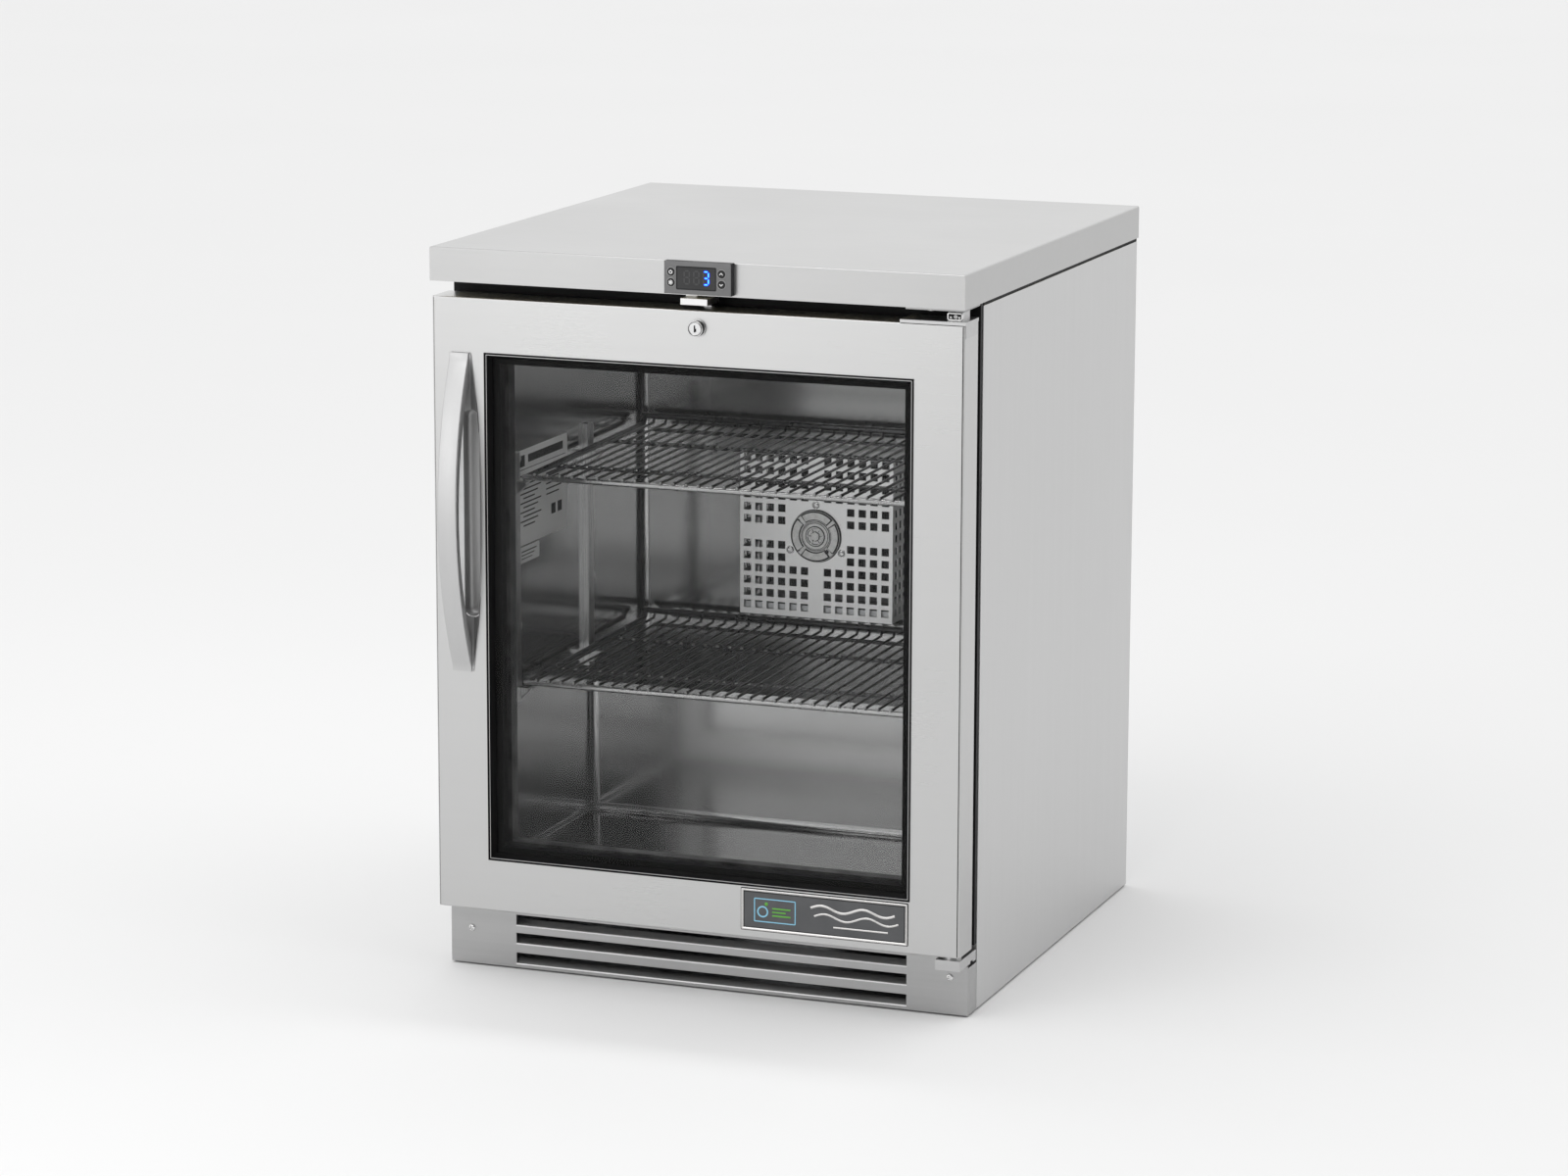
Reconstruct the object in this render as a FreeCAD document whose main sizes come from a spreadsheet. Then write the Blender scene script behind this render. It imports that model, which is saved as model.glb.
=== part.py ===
import FreeCAD, Part
import math
import os
import Sketcher

# Undercounter refrigerator with one glass door.
# Each piece is drawn with x = 0 on the centre plane, y = 0 at the front face of the
# worktop lip (+Y to the back) and z = 0 on the floor. Every piece's Placement then moves
# it by front_y, so that the origin is under the middle of the whole object.

V = FreeCAD.Vector
os.makedirs("parts", exist_ok=True)
doc = FreeCAD.newDocument("undercounter_refrigerator")

# ---------------------------------------------------------------- driving dimensions
TABLE = [
    ("front_y", -296.5, "moves the worktop front lip to its place in the part frame"),
    ("top_wide", 610.0, "worktop width"),
    ("top_deep", 629.0, "worktop depth"),
    ("top_high", 810.0, "height of the worktop surface"),
    ("lip", 37.0, "height of the worktop lip"),
    ("sheet_top", 1.5, "worktop sheet"),
    ("skin", 0.8, "cabinet sheet"),
    ("cab_wide", 608.0, "cabinet width"),
    ("cab_front", 66.0, "front of the cabinet sides"),
    ("cab_back", 626.0, "back of the cabinet sides"),
    ("cab_top", 769.0, "top of the cabinet sides"),
    ("ground_gap", 2.0, "panels clear of the floor"),
    ("deck", 72.0, "top of the base deck"),
    ("cav_half", 257.0, "half the width of the cold space"),
    ("cav_floor", 112.0, "floor of the cold space"),
    ("cav_roof", 715.0, "roof of the cold space"),
    ("cav_back", 486.0, "back wall of the cold space"),
    ("hump_front", 331.0, "front of the step over the machinery"),
    ("hump_top", 265.0, "top of the step over the machinery"),
    ("wall_back", 546.0, "back of the insulation"),
    ("mach_front", 375.0, "front of the machinery bay"),
    ("mach_roof", 220.0, "roof of the machinery bay"),
    ("door_face", 4.0, "door front face"),
    ("door_back", 50.0, "door inner face"),
    ("door_half", 304.0, "half the door width"),
    ("door_low", 74.0, "bottom of the door"),
    ("door_high", 756.0, "top of the door"),
    ("door_sheet", 1.0, "door sheet"),
    ("win_left", -243.5, "window trim, left edge"),
    ("win_right", 248.0, "window trim, right edge"),
    ("win_low", 131.5, "window trim, lower edge"),
    ("win_high", 697.0, "window trim, upper edge"),
    ("pivot_x", 290.0, "door hinge axis"),
    ("pivot_y", 24.0, "door hinge axis"),
    ("lock_x", 4.3, "lock axis"),
    ("lock_z", 737.3, "lock axis"),
    ("kick_front", 36.0, "front of the kick plate"),
    ("kick_high", 70.0, "top of the kick plate"),
    ("fan_x", 1.0, "evaporator fan axis"),
    ("fan_z", 445.0, "evaporator fan axis"),
    ("shelf_front", 115.0, "front rod of a shelf"),
    ("shelf_pitch", 15.0, "spacing of the shelf wires"),
    ("shelf_up", 546.0, "upper shelf wires"),
    ("shelf_down", 313.0, "lower shelf wires"),
    ("cfan_x", 130.0, "condenser fan axis"),
    ("cfan_z", 92.0, "condenser fan axis"),
]
sheet = doc.addObject("Spreadsheet::Sheet", "Dims")
for row, (alias, value, note) in enumerate(TABLE, 1):
    sheet.set("A%d" % row, note)
    sheet.set("B%d" % row, str(value))
    sheet.setAlias("B%d" % row, alias)
doc.recompute()


class Size:
    """A length that carries its spreadsheet expression and its present value."""

    def __init__(self, text, value):
        self.text, self.value = text, value

    def __add__(self, o):
        o = size(o)
        return Size("(%s + %s)" % (self.text, o.text), self.value + o.value)

    def __radd__(self, o):
        return size(o) + self

    def __sub__(self, o):
        o = size(o)
        return Size("(%s - %s)" % (self.text, o.text), self.value - o.value)

    def __rsub__(self, o):
        return size(o) - self

    def __mul__(self, o):
        o = size(o)
        return Size("(%s * %s)" % (self.text, o.text), self.value * o.value)

    def __rmul__(self, o):
        return size(o) * self

    def __truediv__(self, o):
        o = size(o)
        return Size("(%s / %s)" % (self.text, o.text), self.value / o.value)

    def __neg__(self):
        return Size("(0 - %s)" % self.text, -self.value)


def size(o):
    if isinstance(o, Size):
        return o
    text = "%.6g" % o
    return Size(text if o >= 0 else "(0 - %.6g)" % -o, float(o))


class Sizes:
    pass


D = Sizes()
for alias, value, note in TABLE:
    setattr(D, alias, Size("Dims." + alias, value))


def n(o):
    return size(o).value


# ---------------------------------------------------------------- helpers
NODES = []


def node(obj, label):
    """Registers obj as one named piece and moves it into the part frame."""
    obj.Label = label
    base = size(obj.Placement.Base.y) if obj.TypeId in ("Part::Box", "Part::Cylinder") else size(0)
    if obj.Name in LOW_Y:
        base = LOW_Y[obj.Name]
    obj.setExpression("Placement.Base.y", (base + D.front_y).text)
    NODES.append((label, obj))
    return obj


LOW_Y = {}


def box(name, x0, x1, y0, y1, z0, z1):
    o = doc.addObject("Part::Box", name)
    for prop, a, b in (("Length", x0, x1), ("Width", y0, y1), ("Height", z0, z1)):
        o.setExpression(prop, (size(b) - a).text)
    for prop, a in (("Placement.Base.x", x0), ("Placement.Base.y", y0), ("Placement.Base.z", z0)):
        o.setExpression(prop, size(a).text)
    LOW_Y[o.Name] = size(y0)
    return o


TURN = {
    "X": FreeCAD.Rotation(V(0, 1, 0), 90),
    "Y": FreeCAD.Rotation(V(1, 0, 0), -90),
    "Z": FreeCAD.Rotation(),
}


def rod(name, axis, start, length, radius):
    """Round bar from start along +axis."""
    o = doc.addObject("Part::Cylinder", name)
    o.setExpression("Radius", size(radius).text)
    o.setExpression("Height", size(length).text)
    o.Placement = FreeCAD.Placement(V(*[n(c) for c in start]), TURN[axis])
    for prop, a in zip(("Placement.Base.x", "Placement.Base.y", "Placement.Base.z"), start):
        o.setExpression(prop, size(a).text)
    LOW_Y[o.Name] = size(start[1])
    return o


def several(kind, name, parts):
    o = doc.addObject(kind, name)
    if kind == "Part::Compound":
        o.Links = parts
    else:
        o.Shapes = parts
    return o


def group(name, parts):
    return several("Part::Compound", name, parts)


def fuse(name, *parts):
    o = several("Part::MultiFuse", name, list(parts))
    o.Refine = True
    return o


def cut(name, base, *tools):
    o = doc.addObject("Part::Cut", name)
    o.Base = base
    o.Tool = tools[0] if len(tools) == 1 else group(name + "_tools", list(tools))
    return o


def body(name):
    return doc.addObject("PartDesign::Body", name)


def sketch(b, name, plane, offset):
    sk = b.newObject("Sketcher::SketchObject", name)
    support = [f for f in b.Origin.OriginFeatures if f.Role == plane + "_Plane"][0]
    sk.AttachmentSupport = [(support, "")]
    sk.MapMode = "FlatFace"
    sk.setExpression("AttachmentOffset.Base.z", size(offset).text)
    return sk


def bind(sk, constraints):
    """Adds constraints given as (kind, geometry arguments, size) and binds their sizes."""
    for kind, args, value in constraints:
        if value is None:
            sk.addConstraint(Sketcher.Constraint(kind, *args))
        else:
            i = sk.addConstraint(Sketcher.Constraint(kind, *args, n(value)))
            if isinstance(value, Size):
                sk.setExpression("Constraints[%d]" % i, value.text)


def polygon(sk, points):
    """Closed outline; every corner is dimensioned from the sketch origin."""
    g = sk.GeometryCount
    c = len(points)
    for i in range(c):
        a, b2 = points[i], points[(i + 1) % c]
        sk.addGeometry(Part.LineSegment(V(n(a[0]), n(a[1]), 0), V(n(b2[0]), n(b2[1]), 0)), False)
    cons = [("Coincident", (g + i, 2, g + (i + 1) % c, 1), None) for i in range(c)]
    for i, (px, py) in enumerate(points):
        cons.append(("DistanceX", (-1, 1, g + i, 1), px))
        cons.append(("DistanceY", (-1, 1, g + i, 1), py))
    bind(sk, cons)


def rect(x0, x1, y0, y1):
    return ("polygon", [(x0, y0), (x1, y0), (x1, y1), (x0, y1)])


def disc(x, y, r):
    return ("circle", (x, y, r))


def draw(sk, outlines):
    for kind, what in outlines:
        if kind == "polygon":
            polygon(sk, what)
        elif kind == "circle":
            g = sk.GeometryCount
            px, py, r = what
            sk.addGeometry(Part.Circle(V(n(px), n(py), 0), V(0, 0, 1), n(r)), False)
            bind(sk, [("DistanceX", (-1, 1, g, 3), px), ("DistanceY", (-1, 1, g, 3), py), ("Radius", (g,), r)])
        else:  # closed outline of line and arc edges, given as ready geometry
            g = sk.GeometryCount
            for edge in what:
                sk.addGeometry(edge, False)
            for i in range(len(what)):
                j = (i + 1) % len(what)
                ends = [(a, c) for a in (1, 2) for c in (1, 2)
                        if (sk.getPoint(g + i, a) - sk.getPoint(g + j, c)).Length < 1e-4]
                sk.addConstraint(Sketcher.Constraint("Coincident", g + i, ends[-1][0], g + j, ends[-1][1]))
            for i in range(len(what)):
                sk.addConstraint(Sketcher.Constraint("Block", g + i))


def pad(b, name, plane, low, high, *outlines):
    """Solid between low and high along the plane's own axis."""
    start = -size(high) if plane == "XZ" else low
    sk = sketch(b, name + "_sketch", plane, start)
    draw(sk, outlines)
    f = b.newObject("PartDesign::Pad", name)
    f.Profile = sk
    f.setExpression("Length", (size(high) - low).text)
    b.Tip = f
    doc.recompute()
    return f


def pocket(b, name, plane, low, high, *outlines):
    """Removes the outlines between low and high; stops if nothing was removed."""
    before = b.Shape.Volume
    start = -size(low) if plane == "XZ" else high
    sk = sketch(b, name + "_sketch", plane, start)
    draw(sk, outlines)
    f = b.newObject("PartDesign::Pocket", name)
    f.Profile = sk
    f.setExpression("Length", (size(high) - low).text)
    b.Tip = f
    doc.recompute()
    if b.Shape.Volume > before - 1e-3:
        raise RuntimeError("pocket %s removed nothing" % name)
    return f


def edges(f, test):
    return ["Edge%d" % (i + 1) for i, e in enumerate(f.Shape.Edges) if test(e)]


def round_edges(b, name, f, radius, test):
    r = b.newObject("PartDesign::Fillet", name)
    r.Base = (f, edges(f, test))
    r.setExpression("Radius", size(radius).text)
    b.Tip = r
    doc.recompute()
    return r


def shaped(label, shape):
    """A piece whose shape is worked out here from the sheet's sizes."""
    o = doc.addObject("Part::Feature", label)
    o.Shape = shape
    o.Placement = FreeCAD.Placement(V(0, n(D.front_y), 0), FreeCAD.Rotation())
    o.Label = label
    NODES.append((label, o))
    return o


def hole_tool(name, axis, start, length, radius):
    return rod(name, axis, start, length, radius)


def pipe(points, radius, bend):
    """Round bar along straight runs joined by tangent arcs of radius bend."""
    pts = [V(*p) for p in points]
    out, last = [], pts[0]
    for a, p, c in zip(pts, pts[1:], pts[2:]):
        u, w = (a - p).normalize(), (c - p).normalize()
        turn = math.pi - u.getAngle(w)
        back = bend * math.tan(turn / 2)
        p0, p1 = p + u * back, p + w * back
        mid_dir = (u + w).normalize()
        centre = p + mid_dir * (bend / math.cos(turn / 2))
        mid = centre - mid_dir * bend
        out.append(Part.LineSegment(last, p0).toShape())
        out.append(Part.Arc(p0, mid, p1).toShape())
        last = p1
    out.append(Part.LineSegment(last, pts[-1]).toShape())
    wire = Part.Wire(out)
    ring = Part.Wire([Part.Circle(pts[0], pts[1] - pts[0], radius).toShape()])
    solid = wire.makePipeShell([ring], True, False)
    want = math.pi * radius ** 2 * wire.Length
    if abs(abs(solid.Volume) - want) > 0.02 * want:
        raise RuntimeError("pipe volume is off")
    return solid


# ================================================================ worktop
half_top = D.top_wide / 2
lip_low = D.top_high - D.lip
# panel opening for the controller, in the front lip
CX0, CX1, CZ0, CZ1 = -24.0, 44.0, 779.0, 806.0

b = body("worktop_body")
pad(b, "worktop_block", "XY", lip_low, D.top_high, rect(-half_top, half_top, 0, D.top_deep))
pocket(b, "worktop_mouth", "XY", lip_low, lip_low + 1.2,
       rect(-half_top + 16, half_top - 16, 16, D.top_deep - 16))
pocket(b, "worktop_hollow", "XY", lip_low + 1.2, D.top_high - D.sheet_top,
       rect(-half_top + D.sheet_top, half_top - D.sheet_top, D.sheet_top, D.top_deep - D.sheet_top))
pocket(b, "worktop_panel_opening", "XZ", -1, D.sheet_top + 1, rect(CX0, CX1, CZ0, CZ1))
node(b, "worktop")

core = box("core_block", -half_top + D.sheet_top, half_top - D.sheet_top, D.sheet_top,
           D.top_deep - D.sheet_top, lip_low + 1.2, D.top_high - D.sheet_top)
core_pocket = box("core_pocket", CX0 - 1, CX1 + 1, 0, 44, CZ0 - 1, CZ1 + 1)
node(cut("worktop_core_cut", core, core_pocket), "worktop_core")


# ================================================================ cabinet shell
half_cab = D.cab_wide / 2
for side, s in (("left", -1), ("right", 1)):
    b = body("side_%s_body" % side)
    o, i2, r = s * half_cab, s * (half_cab - D.skin), s * (half_cab - 18)
    pad(b, "side_%s_pad" % side, "XY", D.ground_gap, D.cab_top, ("polygon", [
        (o, D.cab_front), (r, D.cab_front), (r, D.cab_front + D.skin), (i2, D.cab_front + D.skin),
        (i2, D.cab_back - D.skin), (r, D.cab_back - D.skin), (r, D.cab_back), (o, D.cab_back)]))
    node(b, "side_panel_" + side)

# rear panel over the service space
b = body("back_panel_body")
pad(b, "back_panel_pad", "XZ", D.cab_back - 1.6, D.cab_back - D.skin,
    rect(-half_cab + 16, half_cab - 16, D.mach_roof + 4, D.cab_top))
node(b, "back_panel")

# louvred grille over the machinery bay, with a hole for the cord bush
INLET = (240.0, 190.0)
b = body("rear_grille_body")
pad(b, "rear_grille_pad", "XZ", D.cab_back - 1.6, D.cab_back - D.skin,
    rect(-half_cab + 16, half_cab - 16, 10, D.mach_roof + 3))
slots = []
for k in range(9):
    for x0 in (-262, -90, 62):
        if x0 == 62 and k > 6:
            continue
        slots.append(rect(x0, x0 + 150, 28 + 20 * k, 35 + 20 * k))
pocket(b, "rear_grille_slots", "XZ", D.cab_back - 2, D.cab_back, *slots)
pocket(b, "rear_grille_hole", "XZ", D.cab_back - 2, D.cab_back, disc(INLET[0], INLET[1], 8))
node(b, "rear_grille")

b = body("cord_bush_body")
pad(b, "cord_bush_neck", "XZ", D.cab_back - 14, D.cab_back - D.skin, disc(INLET[0], INLET[1], 7.9))
pad(b, "cord_bush_collar", "XZ", D.cab_back - D.skin, D.top_deep - 0.2, disc(INLET[0], INLET[1], 11))
pocket(b, "cord_bush_bore", "XZ", D.cab_back - 15, D.top_deep, disc(INLET[0], INLET[1], 4))
node(b, "cord_bush")

# folded casing: deck under the floor, bulkhead, roof of the machinery bay, inner back
mf, mr, wb, t = D.mach_front, D.mach_roof, D.wall_back, 1.2
b = body("inner_casing_body")
pad(b, "inner_casing_pad", "YZ", -half_cab + D.skin, half_cab - D.skin, ("polygon", [
    (D.cab_front + D.skin, D.deck - t), (mf + t, D.deck - t), (mf + t, mr - t), (wb + t, mr - t),
    (wb + t, D.cab_top), (wb, D.cab_top), (wb, mr), (mf, mr), (mf, D.deck), (D.cab_front + D.skin, D.deck)]))
# pipe holes through the inner back: liquid line, suction line and drain
LIQ, SUC, DRN = (60.0, 400.0), (-50.0, 430.0), (10.0, 356.0)
pocket(b, "inner_casing_holes", "XZ", wb - 1, wb + t + 1,
       disc(LIQ[0], LIQ[1], 4), disc(SUC[0], SUC[1], 5), disc(DRN[0], DRN[1], 7))
node(b, "inner_casing")

# ---------------------------------------------------------------- insulation
ch = D.cav_half + D.skin
fl, rf, bk = D.cav_floor - D.skin, D.cav_roof + D.skin, D.cav_back + D.skin
hf, ht, fy = D.hump_front + D.skin, D.hump_top - D.skin, D.cab_front + D.skin
slabs = []
for side, s in (("left", -1), ("right", 1)):
    b = body("foam_%s_body" % side)
    lo, hi = (-half_cab + D.skin, -ch) if s < 0 else (ch, half_cab - D.skin)
    pad(b, "foam_%s_pad" % side, "YZ", lo, hi, ("polygon", [
        (fy, D.deck), (mf, D.deck), (mf, mr), (wb, mr), (wb, D.cab_top), (fy, D.cab_top)]))
    slabs.append(b)
slabs.append(box("foam_floor", -ch, ch, fy, hf, D.deck, fl))
slabs.append(box("foam_step_front", -ch, ch, hf, mf, D.deck, ht))
slabs.append(box("foam_step_top", -ch, ch, mf, wb, mr, ht))
back_block = box("foam_back_block", -ch, ch, bk, wb, ht, lip_low + 1.2)
slabs.append(cut("foam_back", back_block,
                 rod("foam_hole_liq", "Y", (LIQ[0], 480, LIQ[1]), 80, 4),
                 rod("foam_hole_suc", "Y", (SUC[0], 480, SUC[1]), 80, 5),
                 rod("foam_hole_drn", "Y", (DRN[0], 480, DRN[1]), 80, 7)))
slabs.append(box("foam_roof", -ch, ch, fy, bk, rf, lip_low + 1.2))
node(group("foam_group", slabs), "foam_insulation")

# ---------------------------------------------------------------- inner liner
b = body("liner_body")
f = pad(b, "liner_pad", "YZ", -ch, ch, ("polygon", [
    (D.cab_front, fl), (hf, fl), (hf, ht), (bk, ht), (bk, rf), (D.cab_front, rf)]))
pocket(b, "liner_pocket", "YZ", -D.cav_half, D.cav_half, ("polygon", [
    (D.cab_front - 4, D.cav_floor), (D.hump_front, D.cav_floor), (D.hump_front, D.hump_top),
    (D.cav_back, D.hump_top), (D.cav_back, D.cav_roof), (D.cab_front - 4, D.cav_roof)]))
pocket(b, "liner_holes", "XZ", D.cav_back - 1, bk + 1,
       disc(LIQ[0], LIQ[1], 4), disc(SUC[0], SUC[1], 5), disc(DRN[0], DRN[1], 7))
node(b, "inner_liner")

# black strips round the mouth of the cold space
sy0, sy1, sh = 58.5, D.cab_front, half_cab - 1
ih = D.cav_half + 0.5
strips = [
    box("strip_left", -sh, -ih, sy0, sy1, D.deck + 3, lip_low),
    box("strip_right", ih, sh, sy0, sy1, D.deck + 3, lip_low),
    box("strip_low", -ih, ih, sy0, sy1, D.deck + 3, D.cav_floor),
    box("strip_high", -ih, ih, sy0, sy1, D.cav_roof, lip_low),
]
node(group("strip_group", strips), "breaker_strips")

# ================================================================ base
b = body("base_tray_body")
fh, fb, ty = half_cab - 1.2, D.cab_front + 1, D.kick_front + 2
pad(b, "base_tray_floor", "XY", 8, 9.5, ("polygon", [
    (-285, ty), (-262, ty), (-262, ty + 9), (262, ty + 9), (262, ty), (285, ty), (285, fb), (fh, fb),
    (fh, D.cab_back - 2), (-fh, D.cab_back - 2), (-fh, fb), (-285, fb)]))
pad(b, "base_tray_walls", "XY", 9.5, D.deck - t,
    rect(-half_cab + 1.2, -half_cab + 2.7, D.cab_front + 1, D.cab_back - 2),
    rect(half_cab - 2.7, half_cab - 1.2, D.cab_front + 1, D.cab_back - 2))
pad(b, "base_tray_tabs", "XY", 9.5, 66,
    rect(-298, -262, ty, ty + 1.5), rect(262, 298, ty, ty + 1.5))
FEET = [(-268.0, 92.0), (268.0, 92.0), (-268.0, 590.0), (268.0, 590.0)]
pocket(b, "base_tray_foot_holes", "XY", 7, 10, *[disc(x, y, 4.2) for x, y in FEET])
KSCREW = [(-278.7, 42.4), (283.5, 43.3)]
pocket(b, "base_tray_screw_holes", "XZ", D.kick_front + 1.5, D.kick_front + 4, *[disc(x, z, 2.0) for x, z in KSCREW])
node(b, "base_tray")

feet, nuts = [], []
for i, (x, y) in enumerate(FEET):
    b = body("foot_%d" % i)
    pad(b, "foot_%d_pad" % i, "XY", 0, 8, disc(x, y, 16))
    pad(b, "foot_%d_stud" % i, "XY", 8, 26, disc(x, y, 4))
    feet.append(b)
    b = body("foot_nut_%d" % i)
    pad(b, "foot_nut_%d_pad" % i, "XY", 9.5, 16, ("polygon", [
        (x + 7.5 * math.cos(math.radians(60 * k)), y + 7.5 * math.sin(math.radians(60 * k))) for k in range(6)]))
    pocket(b, "foot_nut_%d_bore" % i, "XY", 9, 17, disc(x, y, 4.02))
    nuts.append(b)
node(group("feet_group", feet + nuts), "levelling_feet")

# kick plate: C-shaped sheet with three louvres whose lower edges are folded inwards
kf = D.kick_front
b = body("kick_plate_body")
kh = half_cab
pad(b, "kick_front_sheet", "XZ", kf, kf + 1.2, rect(-kh, kh, D.ground_gap, D.kick_high))
pad(b, "kick_returns", "XZ", kf + 1.2, kf + 28,
    rect(-kh, -kh + 1.2, D.ground_gap, 55), rect(kh - 1.2, kh, D.ground_gap, 55))
pad(b, "kick_top_fold", "XZ", kf + 1.2, kf + 13, rect(-kh + 2, 268, D.kick_high - 1.2, D.kick_high))
LOUVRE = [(6.3, 19.0), (29.5, 41.7), (50.5, 62.5)]
pocket(b, "kick_louvres", "XZ", kf - 1, kf + 2, *[rect(-225, 234, lo, hi) for lo, hi in LOUVRE])
pad(b, "kick_blades", "YZ", -225, 234, *[("polygon", [
    (kf + 0.2, lo - 1.4), (kf + 1.2, lo - 1.4), (kf + 8, lo + 4.6), (kf + 8, lo + 5.8), (kf + 0.2, lo)])
    for lo, hi in LOUVRE])
pocket(b, "kick_screw_holes", "XZ", kf - 1, kf + 2, *[disc(x, z, 2.3) for x, z in KSCREW])
pocket(b, "kick_hinge_notch", "XZ", kf - 1, kf + 2, ("polygon", [
    (274.5, 68.3), (D.door_half - 3, 68.3), (D.door_half - 3, 57), (D.door_half + 1, 57),
    (D.door_half + 1, D.kick_high + 1), (274.5, D.kick_high + 1)]))
node(b, "kick_plate")

screws = []
for i, (x, z) in enumerate(KSCREW):
    b = body("kick_screw_%d" % i)
    pad(b, "kick_screw_%d_head" % i, "XZ", kf - 1.8, kf, disc(x, z, 3.9))
    pad(b, "kick_screw_%d_shank" % i, "XZ", kf, kf + 9, disc(x, z, 1.98))
    pocket(b, "kick_screw_%d_slot" % i, "XZ", kf - 2, kf - 1.0,
           rect(x - 2.4, x + 2.4, z - 0.45, z + 0.45))
    pocket(b, "kick_screw_%d_cross" % i, "XZ", kf - 2, kf - 1.0,
           rect(x - 0.45, x + 0.45, z - 2.4, z + 2.4))
    screws.append(b)

# ================================================================ door
dh, df, db = D.door_half, D.door_face, D.door_back
dl, du, ds = D.door_low, D.door_high, D.door_sheet
wl, wr, wlo, wup = D.win_left, D.win_right, D.win_low, D.win_high
opening = rect(wl + 2.5, wr - 2.5, wlo + 2.5, wup - 2.5)  # hole in the face sheet and the core
CUP = (-277.0, -249.5, 402.0, 636.0)  # hand hold behind the handle


def obround(x0, x1, z0, z1):
    r = (x1 - x0) / 2
    c = (x0 + x1) / 2
    return ("edges", [
        Part.LineSegment(V(x1, z0 + r, 0), V(x1, z1 - r, 0)),
        Part.ArcOfCircle(Part.Circle(V(c, z1 - r, 0), V(0, 0, 1), r), 0, math.pi),
        Part.LineSegment(V(x0, z1 - r, 0), V(x0, z0 + r, 0)),
        Part.ArcOfCircle(Part.Circle(V(c, z0 + r, 0), V(0, 0, 1), r), math.pi, 2 * math.pi)])


b = body("door_skin_body")
pad(b, "door_skin_block", "XZ", df, 47, rect(-dh, dh, dl, du))
pocket(b, "door_skin_hollow", "XZ", df + ds, 48, rect(-dh + ds, dh - ds, dl + ds, du - ds))
pocket(b, "door_skin_window", "XZ", df - 1, df + 2, opening)
pocket(b, "door_skin_hand_hole", "XZ", df - 1, df + 2, obround(*CUP))
pocket(b, "door_skin_lock_hole", "XZ", df - 1, df + 2, disc(D.lock_x, D.lock_z, 8.0))
pocket(b, "door_skin_bolt_slot", "XY", du - 2, du + 1, rect(D.lock_x - 4.3, D.lock_x + 4.3, 35.7, 42.3))
pocket(b, "door_skin_pin_hole", "XY", du - 2, du + 1, disc(D.pivot_x, D.pivot_y, 5))
pocket(b, "door_skin_bush_hole", "XY", dl - 1, dl + 2, disc(D.pivot_x, D.pivot_y, 7.4))
node(b, "door_skin")

b = body("door_core_body")
pad(b, "door_core_block", "XZ", df + ds, 34, rect(-dh + ds, dh - ds, dl + ds, du - ds))
pocket(b, "door_core_window", "XZ", df, 35, opening)
pocket(b, "door_core_hand_hole", "XZ", df, 19, obround(*CUP))
pocket(b, "door_core_lock_hole", "XZ", df, 35, disc(D.lock_x, D.lock_z, 8.0))
pocket(b, "door_core_pin_hole", "XY", du - 18, du, disc(D.pivot_x, D.pivot_y, 5))
pocket(b, "door_core_bush_hole", "XY", dl, dl + 24, disc(D.pivot_x, D.pivot_y, 7.4))
node(b, "door_core")

b = body("door_inner_frame_body")
pad(b, "inner_frame_block", "XZ", 34, db, rect(-dh + ds, dh - ds, dl + ds, du - ds))
pocket(b, "inner_frame_window", "XZ", 33, db + 1, rect(wl + 15.5, wr - 15.5, wlo + 15.5, wup - 15.5))
pocket(b, "inner_frame_lock_well", "XZ", 33, 43, rect(D.lock_x - 13, D.lock_x + 13, 722, du - 3))
pocket(b, "inner_frame_bolt_way", "XY", du - 4, du, rect(D.lock_x - 4.3, D.lock_x + 4.3, 35.7, 42.3))
node(b, "door_inner_frame")

# black window extrusion: a flange on the face, a bevel down to the glass, and the glass seat
b = body("window_trim_body")
pad(b, "trim_flange", "XZ", df - 1.4, df, rect(wl, wr, wlo, wup))
pad(b, "trim_sleeve", "XZ", df, 34, rect(wl + 2.7, wr - 2.7, wlo + 2.7, wup - 2.7))
pocket(b, "trim_seat", "XZ", 12, 35, rect(wl + 4.2, wr - 4.2, wlo + 4.2, wup - 4.2))
before = b.Shape.Volume
s1 = sketch(b, "trim_bevel_front", "XZ", -(df - 1.5))
draw(s1, [rect(wl + 1.3, wr - 1.3, wlo + 1.3, wup - 1.3)])
s2 = sketch(b, "trim_bevel_back", "XZ", -12.5)
draw(s2, [rect(wl + 7, wr - 7, wlo + 7, wup - 7)])
loft = b.newObject("PartDesign::SubtractiveLoft", "trim_bevel")
loft.Profile = s1
loft.Sections = [s2]
b.Tip = loft
doc.recompute()
if b.Shape.Volume > before - 1000:
    raise RuntimeError("the trim's bevel removed nothing")
node(b, "window_trim")

g = 4.4  # edge of the glass inside the trim's outer edge
node(box("glass_outer_box", wl + g, wr - g, 12, 16, wlo + g, wup - g), "glass_outer")
b = body("glass_spacer_body")
pad(b, "glass_spacer_block", "XZ", 16, 28, rect(wl + g, wr - g, wlo + g, wup - g))
pocket(b, "glass_spacer_hole", "XZ", 15, 29, rect(wl + g + 9, wr - g - 9, wlo + g + 9, wup - g - 9))
node(b, "glass_spacer")
node(box("glass_inner_box", wl + g, wr - g, 28, 32, wlo + g, wup - g), "glass_inner")

# magnetic gasket: inside the hinge line, so that its edge swings away from the strips
b = body("door_gasket_body")
gh = D.pivot_x - 1
pad(b, "gasket_block", "XZ", db, 58.2, rect(-gh, gh, dl + 8, du - 8))
pocket(b, "gasket_hole", "XZ", db - 1, 59, rect(-gh + 15, gh - 15, dl + 23, du - 23))
node(b, "door_gasket")

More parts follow.
